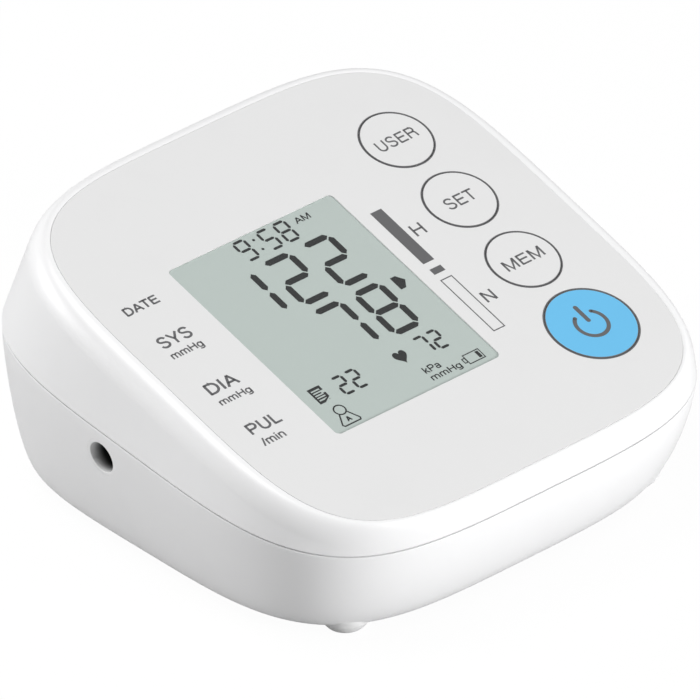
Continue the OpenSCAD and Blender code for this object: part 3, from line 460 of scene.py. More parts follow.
def ink(name="Screen printed ink"):
    return finish_material(name, shades().ink, 0.55, tone=0.08, gloss=0.1, grain=12000, patch=900,
                           bump=0.03, Specular_IOR_Level=0.08)


def key_blue():
    return finish_material("Light blue key", shades().power_key, 0.42, tone=0.02, gloss=0.08,
                           grain=7000, bump=0.05, wear=0.15, Specular_IOR_Level=0.2)


def key_ring_print_and_gap_shade():
    # Painted shade of the gap round each key, on the hole and cap walls, in the ink's grey; on a
    # cap's top rim it is the printed ring.
    return finish_material("Key ring print and painted gap shade", shades().ink, 0.6, tone=0.05, grain=6000)


def lens_clear():
    return finish_material("Clear window", (0.9, 0.95, 0.93), 0.08, tone=0.0, gloss=0.03,
                           grain=3000, bump=0.0, wear=0.06, Alpha=0.02, IOR=1.49,
                           Specular_IOR_Level=0.08)


def lcd_reflector():
    return finish_material("Reflective display cell", shades().display, 0.42, tone=0.02, gloss=0.06,
                           grain=7000, patch=160, stretch=(1, 8, 8), bump=0.02,
                           Specular_IOR_Level=0.15)


def lcd_mark():
    return finish_material("Dark display mark", shades().mark, 0.45, tone=0.06, grain=9000,
                           patch=700, bump=0.0, Specular_IOR_Level=0.1)


def socket_white():
    return finish_material("Socket moulding", shades().shell, 0.42, tone=0.02, grain=5000,
                           bump=0.04)


def socket_with_painted_bore_shade():
    """White moulding whose bore darkens with depth, as painted shade."""
    material = finish_material("Socket with painted bore shade", shades().shell, 0.42, tone=0.02, grain=5000,
                               bump=0.04)
    tree = material.node_tree
    colour = tree.nodes["Principled BSDF"].inputs["Base Color"]
    shaded = add_group(tree, painted_bore_shade_group(), {"Colour": colour.links[0].from_socket})
    tree.links.new(shaded["Colour"], colour)
    return material


def jacket(name, colour):
    return finish_material(name, colour, 0.3, tone=0.06, gloss=0.1, grain=9000, patch=220,
                           bump=0.03, wear=0.2, Metallic=0.35, Coat_Weight=0.4, Coat_Roughness=0.15)


def silicone():
    return finish_material("Milky silicone", (0.74, 0.74, 0.71), 0.48, tone=0.05, gloss=0.12,
                           grain=3200, patch=140, bump=0.05, Subsurface_Weight=0.15,
                           Subsurface_Radius=(0.003, 0.003, 0.003), Subsurface_Scale=1.0)


def wire_jacket(name, colour):
    return finish_material(name, colour, 0.42, tone=0.08, gloss=0.1, grain=5200, patch=400,
                           bump=0.05)


def enamelled_copper():
    return finish_material("Enamelled copper", (0.74, 0.31, 0.14), 0.26, tone=0.12, gloss=0.1,
                           grain=2400, patch=600, bump=0.03, Metallic=1.0, Coat_Weight=0.4)


def foot_rubber():
    return finish_material("Soft white foot", (0.84, 0.84, 0.84), 0.62, tone=0.05, gloss=0.1,
                           grain=5200, patch=160, bump=0.08, Sheen_Weight=0.1)


def spring_steel():
    return finish_material("Plated steel", (0.62, 0.62, 0.64), 0.3, tone=0.12, gloss=0.12,
                           grain=2600, patch=300, stretch=(1, 1, 6), bump=0.04, Metallic=1.0)


# ---- Printed words and marks ----


def stroke_points(stroke):
    """Points of one stroke; an item of six numbers is an arc: middle, radii, two angles."""
    points = []
    for item in stroke:
        if len(item) == 2:
            points.append(Vector(item))
            continue
        x, y, rx, ry, start, end = item
        steps = max(2, math.ceil(abs(end - start) / 12))
        for k in range(steps + 1):
            turn = math.radians(start + (end - start) * k / steps)
            points.append(Vector((x + rx * math.cos(turn), y + ry * math.sin(turn))))
    return points


def ribbon(bm, points, width):
    """A flat line of even width, drawn by pulling a short edge along the points."""
    last = len(points) - 1
    edge = None
    for k, point in enumerate(points):
        before = (point - points[k - 1]).normalized() if k else None
        after = (points[k + 1] - point).normalized() if k < last else None
        along = ((before or after) + (after or before)).normalized()
        reach = width / 2 / max(0.5, along.dot(before or after))
        side = Vector((-along.y, along.x)) * reach
        ends = (point + side, point - side)
        if edge is None:
            pair = [bm.verts.new((*end, 0)) for end in ends]
            edge = bm.edges.new(pair)
            continue
        grown = bmesh.ops.extrude_edge_only(bm, edges=[edge])["geom"]
        new = [g for g in grown if isinstance(g, bmesh.types.BMVert)]
        edge = next(g for g in grown
                    if isinstance(g, bmesh.types.BMEdge) and set(g.verts) == set(new))
        partner = {v: o for v in new for e in v.link_edges for o in [e.other_vert(v)]
                   if o not in new}
        for v in new:
            v.co = (*ends[0 if partner[v] is pair[0] else 1], 0)
        pair = sorted(new, key=lambda v: (v.co.xy - ends[0]).length)


def lettering(text, low, high, weight=90, z=0.0, relief=0.03):
    """Plain printed letters as a thin closed mesh that fills the box between two corners."""
    bm = bmesh.new()
    at = 0
    for letter in text:
        advance, strokes = GLYPHS[letter]
        for stroke in strokes:
            points = stroke_points(stroke)
            ribbon(bm, [Vector((p.x + at, p.y)) for p in points], weight)
        at += advance
    spans = [[f(v.co[i] for v in bm.verts) for f in (min, max)] for i in range(2)]
    for v in bm.verts:
        v.co = [g0 + (c - s0) / (s1 - s0) * (g1 - g0)
                for c, (s0, s1), g0, g1 in zip(v.co.xy, spans, low, high)] + [0]
    return thickened(bm, z, relief)


def gathered(parts):
    """Several meshes as one."""
    out = bmesh.new()
    for part in parts:
        mesh = bpy.data.meshes.new("work")
        part.to_mesh(mesh)
        part.free()
        out.from_mesh(mesh)
        bpy.data.meshes.remove(mesh)
    return out


def thickened(bm, z, relief=0.03):
    """Flat faces at z = 0 given a thickness and put at height z."""
    bmesh.ops.recalc_face_normals(bm, faces=bm.faces)
    for f in bm.faces:
        if f.normal.z < 0:
            f.normal_flip()
    bmesh.ops.solidify(bm, geom=bm.faces[:], thickness=-relief)
    bmesh.ops.recalc_face_normals(bm, faces=bm.faces)
    lowest = min(v.co.z for v in bm.verts)
    bmesh.ops.translate(bm, verts=bm.verts, vec=(0, 0, z - lowest))
    return bm


def disc(bm, x, y, radius, sides=24):
    bmesh.ops.create_circle(bm, cap_ends=True, segments=sides, radius=radius,
                            matrix=Matrix.Translation((x, y, 0)))


def box_face(bm, x0, x1, y0, y1):
    bmesh.ops.create_grid(bm, x_segments=1, y_segments=1, size=0.5, matrix=Matrix.Translation(
        ((x0 + x1) / 2, (y0 + y1) / 2, 0)) @ Matrix.Diagonal((x1 - x0, y1 - y0, 1, 1)))


def pointed_bar(bm, start, end, width):
    """A display segment: a bar whose two ends come to a point."""
    start, end = Vector(start), Vector(end)
    along = (end - start).normalized()
    across = Vector((-along.y, along.x))
    half = width / 2
    ring = bmesh.ops.create_circle(bm, cap_ends=True, segments=6, radius=1)["verts"]
    for v in ring:
        corner = round((math.degrees(math.atan2(v.co.y, v.co.x)) - 30) / 60) % 6
        spot = (end, end - along * half + across * half, start + along * half + across * half,
                start, start + along * half - across * half, end - along * half - across * half)
        v.co = (*spot[corner], 0)


def outline(bm, points, width):
    """A closed line of the given width along the inside of a polygon."""
    made = [bm.verts.new((*p, 0)) for p in points]
    face = bm.faces.new(made)
    face.normal_update()
    bmesh.ops.inset_region(bm, faces=[face], thickness=width, use_boundary=True,
                           use_even_offset=True)
    bmesh.ops.delete(bm, geom=[face], context="FACES_ONLY")


def polygon(bm, points):
    bm.faces.new([bm.verts.new((*p, 0)) for p in points])


# Letters in thousandths of a type size: advance, then strokes along their middle lines.
GLYPHS = {
    "A": (667, [[(52, 0), (334, 700)], [(616, 0), (334, 700)], [(150, 240), (518, 240)]]),
    "D": (722, [[(123, 0), (123, 718)], [(100, 676), (340, 676), (340, 359, 290, 317, 90, -90),
                 (100, 42)]]),
    "E": (667, [[(128, 0), (128, 718)], [(128, 676), (600, 676)], [(128, 376), (572, 376)],
                [(128, 42), (612, 42)]]),
    "H": (722, [[(119, 0), (119, 718)], [(604, 0), (604, 718)], [(119, 377), (604, 377)]]),
    "I": (278, [[(139, 0), (139, 718)]]),
    "L": (556, [[(118, 0), (118, 718)], [(118, 42), (530, 42)]]),
    "M": (833, [[(117, 0), (117, 718)], [(717, 0), (717, 718)],
                [(130, 712), (417, 20), (704, 712)]]),
    "N": (722, [[(118, 0), (118, 718)], [(604, 0), (604, 718)], [(130, 712), (592, 6)]]),
    "P": (667, [[(128, 0), (128, 718)], [(100, 676), (410, 676), (410, 502, 165, 174, 90, -90),
                 (128, 328)]]),
    "R": (722, [[(130, 0), (130, 718)], [(100, 676), (440, 676), (440, 520, 150, 156, 90, -90),
                 (130, 364)], [(440, 364), (430, 230, 165, 134, 80, 0), (625, 0)]]),
    "S": (667, [[(331, 536, 212, 158, 12, 245), (335, 194, 228, 170, 68, -172)]]),
    "T": (611, [[(305, 0), (305, 718)], [(16, 676), (595, 676)]]),
    "U": (722, [[(121, 718), (361, 250, 240, 227, 180, 360), (601, 718)]]),
    "Y": (667, [[(50, 718), (333, 300)], [(617, 718), (333, 300)], [(333, 320), (333, 0)]]),
    "a": (556, [[(262, 360, 168, 136, 165, 0), (430, 0)], [(262, 150, 168, 125, 0, 360)]]),
    "g": (556, [[(262, 258, 192, 240, 0, 360)], [(454, 523), (262, -60, 192, 118, 0, -155)]]),
    "i": (222, [[(110, 0), (110, 523)], [(110, 615), (110, 718)]]),
    "k": (500, [[(109, 0), (109, 718)], [(109, 205), (430, 523)], [(222, 310), (458, 0)]]),
    "m": (833, [[(107, 0), (107, 523)], [(262, 365, 155, 131, 180, 0), (417, 0)],
                [(572, 365, 155, 131, 180, 0), (727, 0)]]),
    "n": (556, [[(107, 0), (107, 523)], [(278, 340, 171, 156, 180, 0), (449, 0)]]),
    "/": (278, [[(10, -19), (268, 737)]]),
}

SEGMENTS = {"0": "abcdef", "1": "bc", "2": "abged", "5": "acdfg", "7": "abc", "8": "abcdefg",
            "9": "abcdfg"}


def digit(bm, figure, left, right, top, bottom, width, gap_x, gap_y):
    """A seven-segment figure in the box between its outer edges."""
    x0, x1 = left + width / 2, right - width / 2
    y0, y1 = top - width / 2, bottom + width / 2
    mid = (y0 + y1) / 2
    rows = {"a": y0, "g": mid, "d": y1}
    columns = {"b": (x1, y0, mid), "c": (x1, mid, y1), "e": (x0, mid, y1), "f": (x0, y0, mid)}
    for name in SEGMENTS[figure]:
        if name in rows:
            pointed_bar(bm, (x0 + gap_x, rows[name]), (x1 - gap_x, rows[name]), width)
        else:
            x, upper, lower = columns[name]
            pointed_bar(bm, (x, upper - gap_y), (x, lower + gap_y), width)


# ---- Sizes and colours that a user would change ----


def user_length(name, description, default, low, high):
    """A length that a user would change, in metres."""
    return bpy.props.FloatProperty(name=name, description=description, subtype="DISTANCE",
                                   unit="LENGTH", precision=5, default=default, min=low, max=high)


def user_colour(name, description, default):
    """A colour that a user would change, in linear values."""
    return bpy.props.FloatVectorProperty(name=name, description=description, subtype="COLOR",
                                         size=3, default=default, min=0, max=1)


class MonitorSizes(bpy.types.PropertyGroup):
    """Lengths of the finer details."""

    edge_round: user_length("Edge rounding", "Radius of the small moulded edges", 22e-5, 5e-5,
                            4e-4)
    ring_gap: user_length("Key gap", "Dark gap round each key", 15e-5, 1e-4, 4e-4)
    film_depth: user_length("Display depth", "Depth of the image under the window's face", 3e-4,
                            2e-4, 12e-4)
    relief: user_length("Print relief", "Thickness of printed marks", 3e-5, 1e-5, 1e-4)


class MonitorColours(bpy.types.PropertyGroup):
    """Main colours."""

    shell: user_colour("Shell", "White of the housing", (0.90, 0.90, 0.905))
    panel: user_colour("Panel", "Grey of the face panel and small keys", (0.765, 0.765, 0.765))
    ink: user_colour("Ink", "Grey of the printed words and rings", (0.138, 0.138, 0.142))
    power_key: user_colour("Power key", "Blue of the large key", (0.155, 0.515, 0.82))
    display: user_colour("Display", "Grey green of the display", (0.47, 0.53, 0.505))
    mark: user_colour("Display marks", "Dark grey of the display's figures", (0.009, 0.009, 0.01))


# ---- Housing ----


def shoulder_ring(turn, angle):
    """The rounded shoulder: at the rim for angle 0, at the wall for 90 degrees."""
    lip = RIM_W + PANEL_GAP
    wall_side = SHOULDER_IN * SHOULDER_DROP / (FACE_Z - SHOULDER_DROP * COS_T - SEAM_Z)
    run = (CASE_D / 2 + FACE_FRONT) * COS_T + (REAR_SEAM_Z - FACE_Z) * SIN_T
    deep = (CASE_D / 2 + FACE_FRONT) * SIN_T - (REAR_SEAM_Z - FACE_Z) * COS_T
    corner_back = SHOULDER_BACK - (run - SHOULDER_BACK) * SHOULDER_DROP / (deep - SHOULDER_DROP)
    rim = squircle(PANEL_A + lip, PANEL_B + lip, PANEL_N, turn)
    corner = lopsided(SHOULDER_A - wall_side, corner_back, (CASE_D / 2 - FACE_FRONT) / COS_T,
                      SHOULDER_N, turn)
    low = lopsided(SHOULDER_A, SHOULDER_BACK, SHOULDER_FRONT, SHOULDER_N, turn)
    fall = 1 - math.cos(angle)
    flat = rim + (corner - rim) * math.sin(angle) + (low - corner) * fall
    return on_face(flat, SHOULDER_DROP * fall)


def seam_ring(inset, lift):
    return lambda turn: on_seam(squircle(SEAM_A - inset, SEAM_B - inset, SEAM_N, turn), lift)


def face_ring(inset, depth):
    return lambda turn: on_face(squircle(PANEL_A - inset, PANEL_B - inset, PANEL_N, turn), depth)


def inner_ring(inset, depth):
    return lambda turn: on_face(
        lopsided(SHOULDER_A - inset, SHOULDER_BACK - inset, SHOULDER_FRONT - inset, SHOULDER_N,
                 turn), depth)


def belly_ring(angle, inset, bottom):
    """One ring of the belly, from the parting line at 0 to the underside at 90 degrees."""
    c = math.cos(angle) ** (2 / BELLY_ROUND) if angle < math.pi / 2 else 0.0
    s = math.sin(angle) ** (2 / BELLY_ROUND)

    def ring(turn):
        top = on_seam(squircle(SEAM_A - inset, SEAM_B - inset, SEAM_N, turn))
        base = squircle(BASE_A - inset, BASE_B - inset, BASE_N, turn)
        x, y = base.x, base.y + BASE_Y
        return Vector((x + (top.x - x) * c, y + (top.y - y) * c, top.z + (bottom - top.z) * s))

    return ring


class MONITOR_OT_upper_cover(bpy.types.Operator):
    """Upper cover: rim round the panel, rounded shoulder and walls down to the parting line"""

    bl_idname = "monitor.upper_cover"
    bl_label = "Upper cover"

    def execute(self, context):
        r = detail("edge_round")
        gap = 0.015  # between rim and panel
        rings = [face_ring(-gap, PANEL_T), face_ring(-gap, r)]
        rings += [face_ring(-gap - a * r, b * r) for a, b in ((ARC_MID, ARC_MID), (1, 0))]
        rings += [lambda t, i=i: shoulder_ring(t, math.radians(i)) for i in range(0, 91, 6)]
        rings += [seam_ring(0, SEAM_GAP + SEAM_EDGE), seam_ring(SEAM_ARC, SEAM_GAP + SEAM_ARC),
                  seam_ring(SEAM_EDGE, SEAM_GAP), seam_ring(WALL, SEAM_GAP),
                  inner_ring(WALL, SHOULDER_DROP), inner_ring(WALL + 1, DECK_DEPTH)]
        bm = loft(rings)
        tool = bmesh.new()
        w, h, corner, x, y = WINDOW
        rounded_plate(tool, w + LENS_ROOM, h + LENS_ROOM, corner, -DECK_DEPTH - CUT,
                      -PANEL_T + CUT / 2, x, y)
        for radius, y in KEYS.values():
            rod(tool, (KEY_X, y, -DECK_DEPTH - CUT), UP, DECK_DEPTH + CUT / 2 - PANEL_T + CUT,
                radius + FLANGE_ROOM)
        tool.transform(FACE)
        bm = carved(bm, tool)
        piece(bm, "upper_shell", CASE, "white_shell", shell_white(), replaces=("upper_cover",),
              weighted=True)
        return {"FINISHED"}


class MONITOR_OT_lower_case(bpy.types.Operator):
    """Lower case: belly, underside with battery bay, screw wells and foot seats"""

    bl_idname = "monitor.lower_case"
    bl_label = "Lower case"

    def execute(self, context):
        inner = [belly_ring(math.radians(a), WALL, FOOT_H + FLOOR_T) for a in range(90, -1, -15)]
        tongue = [seam_ring(inset, lift) for inset, lift in (
            (TONGUE_IN, -0.6), (TONGUE_IN, TONGUE_H), (TONGUE_OUT, TONGUE_H), (TONGUE_OUT, 0.0),
            (SEAM_EDGE, 0.0), (SEAM_ARC, -SEAM_ARC))]
        outer = [belly_ring(math.radians(a), 0, FOOT_H) for a in (2, 4, 8, *range(12, 91, 6))]
        bm = loft(inner + tongue + outer)
        add = bmesh.new()
        block(add, (-BAY_A - BAY_WALL, BAY_FRONT - BAY_WALL, FOOT_H + CUT),
              (BAY_A + BAY_WALL, BAY_REAR + BAY_WALL, BAY_ROOF + BAY_WALL))
        for x, y, top in SCREWS:
            rod(add, (x, y, FOOT_H + CUT), UP, top - FOOT_H - CUT, POST_R)
        for x, y in FEET:
            rod(add, (x, y, FOOT_H + 1.1), UP, FOOT_SEAT + 0.8, FOOT_R + 1.4)
        rod(add, (SOCKET_X + 1, SOCKET_Y, SOCKET_Z), (1, 0, 0), SOCKET_SEAT - 1, SOCKET_BOSS_R)
        inside = loft([belly_ring(math.radians(a), 0.6, FOOT_H) for a in range(0, 91, 6)])
        bm = carved(bm, carved(add, inside, "INTERSECT"), "UNION")
        cut = bmesh.new()
        block(cut, (-BAY_A, BAY_FRONT, FOOT_H - CUT), (BAY_A, BAY_REAR, BAY_ROOF))
        for x, y, _ in SCREWS:
            rod(cut, (x, y, FOOT_H - CUT), UP, SINK_DEPTH + CUT, SINK_R)
        for x, y in FEET:
            rod(cut, (x, y, FOOT_H - CUT), UP, FOOT_SEAT + CUT, FOOT_R + 0.02, 64)
        rod(cut, (SOCKET_X - 4, SOCKET_Y, SOCKET_Z), (1, 0, 0), 9.0, SOCKET_HOLE_R, 96)
        bm = carved(bm, cut)
        cut = bmesh.new()
        rod(cut, (0, BAY_REAR - CUT, FOOT_H - NOTCH_R + 1.5), (0, 1, 0), 10.0, NOTCH_R, 64)
        for x, y, top in SCREWS:
            rod(cut, (x, y, FOOT_H + 3), UP, top - FOOT_H + 3, SCREW_HOLE_R)
        for x in (-1, 1):
            rod(cut, (x * (BAY_A - CUT), HINGE_Y, HINGE_Z), (x, 0, 0), 3.2, HINGE_HOLE_R)
        bm = carved(bm, cut)
        piece(bm, "lower_shell", CASE, "white_shell", shell_white(), replaces=("lower_case",),
              weighted=True)
        return {"FINISHED"}


class MONITOR_OT_face_panel(bpy.types.Operator):
    """Grey face panel with its window and key holes"""

    bl_idname = "monitor.face_panel"
    bl_label = "Face panel"

    def execute(self, context):
        r = 0.06  # its own fine edge
        bm = loft([face_ring(0, PANEL_T), face_ring(0, r), face_ring(0.3 * r, 0.3 * r),
                   face_ring(r, 0)])
        tool = bmesh.new()
        w, h, corner, x, y = WINDOW
        rounded_plate(tool, w, h, corner, -PANEL_T - CUT, CUT, x, y)
        for radius, y in KEYS.values():
            rod(tool, (KEY_X, y, -PANEL_T - CUT), UP, PANEL_T + 2 * CUT, radius, 128)
        tool.transform(FACE)
        bm = carved(bm, tool)
        inverse = FACE.inverted()
        for f in bm.faces:
            centre = inverse @ f.calc_center_median()
            near = min(abs(math.hypot(centre.x - KEY_X, centre.y - y) - radius)
                       for radius, y in KEYS.values())
            if abs(f.normal.dot(FACE.to_3x3() @ Vector(UP))) < 0.5 and near < 0.3:
                f.material_index = 1  # the wall of a key's hole, dark as painted shade of the gap
        piece(bm, "panel_plate", CASE, "grey_panel", panel_grey(), key_ring_print_and_gap_shade(),
              replaces=("face_panel",), weighted=True)
        return {"FINISHED"}


# ---- Display ----

# Figures on the layout grid: figure, left, right, top, bottom, width and gaps of its segments.
FIGURES = [
    *((figure, left, right, 38, 190, 16, 3, 5)
      for figure, left, right in (("9", 438, 525), ("5", 600, 685), ("8", 712, 800))),
    *((figure, left, left + wide, top, top + 357, 38, 3, 9)
      for figure, left, wide, top in (("2", 475, 203, 227), ("2", 745, 200, 229),
                                      ("7", 475, 203, 628), ("8", 745, 200, 632))),
    ("1", 204, 407, 231, 573, 38, 3, 9),
    *((figure, left, left + wide, 1043, 1180, 16, 2, 4)
      for figure, left, wide in (("2", 243, 75), ("2", 333, 75), ("7", 803, 75), ("2", 893, 74))),
]


class MONITOR_OT_display(bpy.types.Operator):
    """Clear window, the grey green display under it and the figures that it shows"""

    bl_idname = "monitor.display"
    bl_label = "Display"

    def execute(self, context):
        depth = detail("film_depth")
        w, h, corner, x, y = WINDOW
        w, h, corner = w - 2 * LENS_GAP, h - 2 * LENS_GAP, corner - LENS_GAP
        lens = bmesh.new()
        rounded_plate(lens, w, h, corner, -depth + 0.08, 0, x, y, edge=0.04)
        piece(lens, "window_lens", CASE, "clear_lens", lens_clear(), place=FACE,
              replaces=("display_window",))
        film = bmesh.new()
        rounded_plate(film, w, h, corner, -FILM_BOTTOM, -depth, x, y)
        piece(film, "display_film", CASE, "display_cell", lcd_reflector(), place=FACE)
        along_view = Matrix.Translation((x + VIEW_SLANT[0] * depth, y + VIEW_SLANT[1] * depth, 0))
        piece(self.figures(), "display_figures", CASE, "display_cell", lcd_mark(),
              place=FACE @ along_view)
        return {"FINISHED"}

    def figures(self):
        """Everything that the display shows, in window coordinates."""
        u = 0.045  # one step of the layout grid
        bm = bmesh.new()

        def px(a):
            return (a - 580) * u

        def py(b):
            return (696 - b) * u

        for figure, left, right, top, bottom, width, gap_x, gap_y in FIGURES:
            digit(bm, figure, px(left), px(right), py(top), py(bottom), width * u, gap_x * u,
                  gap_y * u)
        for b in (77, 151):
            disc(bm, px(565), py(b), 8 * u)
        polygon(bm, [(px(a), py(b)) for a, b in (
            (1003, 743), (1037, 743), (1070, 697), (1037, 652), (1003, 652))])
        self.notepad(bm, px, py)
        self.heart(bm, px, py, u)
        self.person(bm, px, py, u)
        self.battery(bm, px, py, u)
        z = -detail("film_depth")
        words = [("AM", 843, 942, 62, 108, 110), ("kPa", 712, 818, 1225, 1275, 110),
                 ("mmHg", 713, 915, 1290, 1342, 110), ("A", 130, 162, 1292, 1326, 190)]
        parts = [lettering(text, (px(a), py(d)), (px(b), py(c)), weight, z, detail("relief"))
                 for text, a, b, c, d, weight in words]
        return gathered([thickened(bm, z, detail("relief")), *parts])

    def notepad(self, bm, px, py):
        """Memory sign: a ruled page whose lower corner is folded."""
        def at(across, down):
            return px(85 + 81 * across), py(1048 + 112 * down)

        for a0, a1, b0, b1 in ((0, .15, 0, 1), (.15, 1, 0, .15), (.82, 1, .15, .3),
                               (.82, 1, .48, .765), (.15, .8, .235, .3), (.15, .73, .385, .455),
                               (.15, .82, .54, .6), (.15, .82, .68, .76), (.15, .45, .85, 1)):
            (x0, y1), (x1, y0) = at(a0, b0), at(a1, b1)
            box_face(bm, x0, x1, y0, y1)
        polygon(bm, [at(.45, 1), at(1, .765), at(.84, .765), at(.45, .87)])
        disc(bm, *at(.86, .93), 0.11, 12)

    def heart(self, bm, px, py, u):
        """Pulse sign: a heart curve, stretched to its half width and half height."""
        for v in bmesh.ops.create_circle(bm, cap_ends=True, segments=40, radius=1)["verts"]:
            t = math.atan2(v.co.y, v.co.x) + math.pi / 2
            hx = 16 * math.sin(t) ** 3
            hy = 13 * math.cos(t) - 5 * math.cos(2 * t) - 2 * math.cos(3 * t) - math.cos(4 * t)
            v.co = (px(679) + hx * 41 / 16 * u, py(1109) + hy * 45 / 14.5 * u, 0)

    def battery(self, bm, px, py, u):
        """Battery sign: body and nub in outline, with one bar left."""
        for left, right, low, high in ((958, 1068, 1338, 1268), (938, 961, 1322, 1286)):
            outline(bm, [(px(left), py(low)), (px(right), py(low)), (px(right), py(high)),
                         (px(left), py(high))], 5.5 * u)
        box_face(bm, px(1035), px(1055), py(1326), py(1280))

    def person(self, bm, px, py, u):
        """User sign: a round head over a bust, in outline."""
        ring = [(px(146) + 37 * u * math.cos(t), py(1239) + 37 * u * math.sin(t))
                for t in (math.tau * k / 32 for k in range(32))]
        outline(bm, ring, 8 * u)
        bust = [(172, 1266), (206, 1332), (199, 1344), (93, 1344), (86, 1332), (120, 1266)]
        ribbon(bm, [Vector((px(a), py(b))) for a, b in bust], 8 * u)


# ---- Panel print ----


class MONITOR_OT_print(bpy.types.Operator):
    """Printed row names left of the display, and the level bars right of it"""

    bl_idname = "monitor.print"
    bl_label = "Panel print"

    def execute(self, context):
        relief = detail("relief")
        words = [("DATE", -54.1, -44.1, 22.6, 25.5, 142), ("SYS", -53.7, -44.35, 10.2, 13.9, 128),
                 ("mmHg", -53.75, -44.35, 5.95, 8.65, 130), ("DIA", -53.8, -44.8, -6.8, -2.9, 128),
                 ("mmHg", -53.75, -44.3, -11.1, -8.5, 130),
                 ("PUL", -53.8, -44.5, -21.4, -17.65, 128),
                 ("/min", -53.65, -46.8, -25.5, -23.0, 128), ("H", 22.8, 26.0, 8.1, 11.7, 104),
                 ("N", 22.9, 26.1, -16.9, -13.3, 104)]
        parts = [lettering(text, (x0, y0), (x1, y1), weight, -PRINT_SUNK, relief)
                 for text, x0, x1, y0, y1, weight in words]
        bars = bmesh.new()
        box_face(bars, 17.9, 21.3, 0.5, 19.5)
        box_face(bars, 17.9, 21.3, -3.5, -1.6)
        outline(bars, [(17.8, -24.6), (21.4, -24.6), (21.4, -5.5), (17.8, -5.5)], 0.3)
        for radius, y in KEYS.values():
            self.ring(bars, y, radius)
        piece(gathered([*parts, thickened(bars, -PRINT_SUNK, relief)]), "panel_print", CASE,
              "grey_panel", ink(), place=FACE)
        return {"FINISHED"}

    def ring(self, bm, y, radius):
        """A fine printed ring round a key's hole."""
        inner = bmesh.ops.create_circle(bm, segments=96, radius=radius + 0.01,
                                        matrix=Matrix.Translation((KEY_X, y, 0)))["verts"]
        grown = bmesh.ops.extrude_edge_only(
            bm, edges=list({e for v in inner for e in v.link_edges}))["geom"]
        width = SMALL_RING_W if radius < 10 else POWER_RING_W
        for v in grown:
            if isinstance(v, bmesh.types.BMVert):
                v.co += (v.co - Vector((KEY_X, y, 0))).normalized() * width


# ---- Keys ----


class MONITOR_OT_keys(bpy.types.Operator):
    """Four keys with their flanges and stems, and what is printed on them"""

    bl_idname = "monitor.keys"
    bl_label = "Keys"

    def execute(self, context):
        # Word, half its length and how far it stands above the key's middle.
        words = {"user": ("USER", 5.9, 0.2), "set": ("SET", 4.35, 0.0), "memory": ("MEM", 5.8, 0.0)}
        for name, (hole, y) in KEYS.items():
            blue = name == "power"
            place = FACE @ Matrix.Translation((KEY_X, y, 0))
            body = f"{name}_key"
            cap = self.cap(hole)
            piece(cap, f"{name}_cap", body, "blue_key" if blue else "grey_key",
                  key_blue() if blue else panel_grey(), key_ring_print_and_gap_shade(), place=place,
                  replaces=(f"{name}_button",))
            top = KEY_PROUD - PRINT_SUNK
            if blue:
                sign = self.power_sign(top)
            else:
                text, half, lift = words[name]
                sign = lettering(text, (-half, lift - WORD_HALF_H), (half, lift + WORD_HALF_H), 104,
                                 top, detail("relief"))
            piece(sign, f"{name}_sign", body, "grey_key", ink(), place=place)
        return {"FINISHED"}

    def cap(self, hole):
        r = hole - detail("ring_gap")
        edge, proud, rim = 0.08, KEY_PROUD, 0.2
        lip = hole + FLANGE_LIP
        profile = [(-PLUNGER_DEPTH, 0.0), (-PLUNGER_DEPTH, STEM_R), (FLANGE_LOW, STEM_R),
                   (FLANGE_LOW, lip), (FLANGE_TOP, lip), (FLANGE_TOP, r), (proud - edge, r)]
        profile += [(proud - edge * (1 - math.sin(a)), r - edge * (1 - math.cos(a)))
                    for a in (math.radians(k) for k in (22.5, 45, 67.5, 90))]
        profile += [(proud, r - rim), (proud, r - 1.2), (proud, 0.0)]
        bm = spun(profile, (0, 0, 0), Matrix(), steps=96)
        for f in bm.faces:
            centre = f.calc_center_median()
            # The top rim band is the cap's printed ring; its side down to the flange is dark as
            # painted shade of the gap.
            if r - rim < math.hypot(centre.x, centre.y) < hole and centre.z > FLANGE_TOP:
                f.material_index = 1
        return bm

    def power_sign(self, top):
        bm = bmesh.new()
        radius, half, reach = 4.0, 0.5, 142
        ends = [bm.verts.new((r, 0, 0)) for r in (radius - half, radius + half)]
        edge = bm.edges.new(ends)
        bmesh.ops.spin(bm, geom=[*ends, edge], cent=(0, 0, 0), axis=(0, 0, 1),
                       angle=math.radians(2 * reach), steps=60, use_merge=False)
        bmesh.ops.rotate(bm, cent=(0, 0, 0), verts=bm.verts,
                         matrix=Matrix.Rotation(math.radians(270 - reach), 3, "Z"))
        for side in (-1, 1):
            a = math.radians(270 + side * reach)
            disc(bm, radius * math.cos(a), radius * math.sin(a), half * 0.98, 20)
        low, high, bar_half = 0.6, 6.4, 0.58
        bar = bmesh.ops.create_circle(bm, cap_ends=True, segments=32, radius=bar_half)["verts"]
        for v in bar:
            v.co.y += low + bar_half if v.co.y < 0 else high - bar_half
        return thickened(bm, top, detail("relief"))


# ---- Feet and air socket ----


class MONITOR_OT_feet(bpy.types.Operator):
    """Four soft feet that run out into the underside"""

    bl_idname = "monitor.feet"
    bl_label = "Feet"

    def execute(self, context):
        r, tip = FOOT_R, FOOT_TIP_R
        top = FOOT_H + FOOT_SEAT
        profile = [(top, 0.0), (top, r), (FOOT_H, r), (2.25, r - 0.22), (1.8, r - 0.5),
                   (1.2, r - 0.9), (0.6, r - 1.4), (0.25, tip + 0.2), (0.08, tip - 0.1),
                   (0.0, tip - 0.5), (0.0, 0.0)]
        parts = [spun(profile, (x, y, 0), Matrix(), steps=64) for x, y in FEET]
        piece(gathered(parts), "feet", CASE, "white_rubber", foot_rubber(),
              replaces=("rubber_feet",))
        return {"FINISHED"}


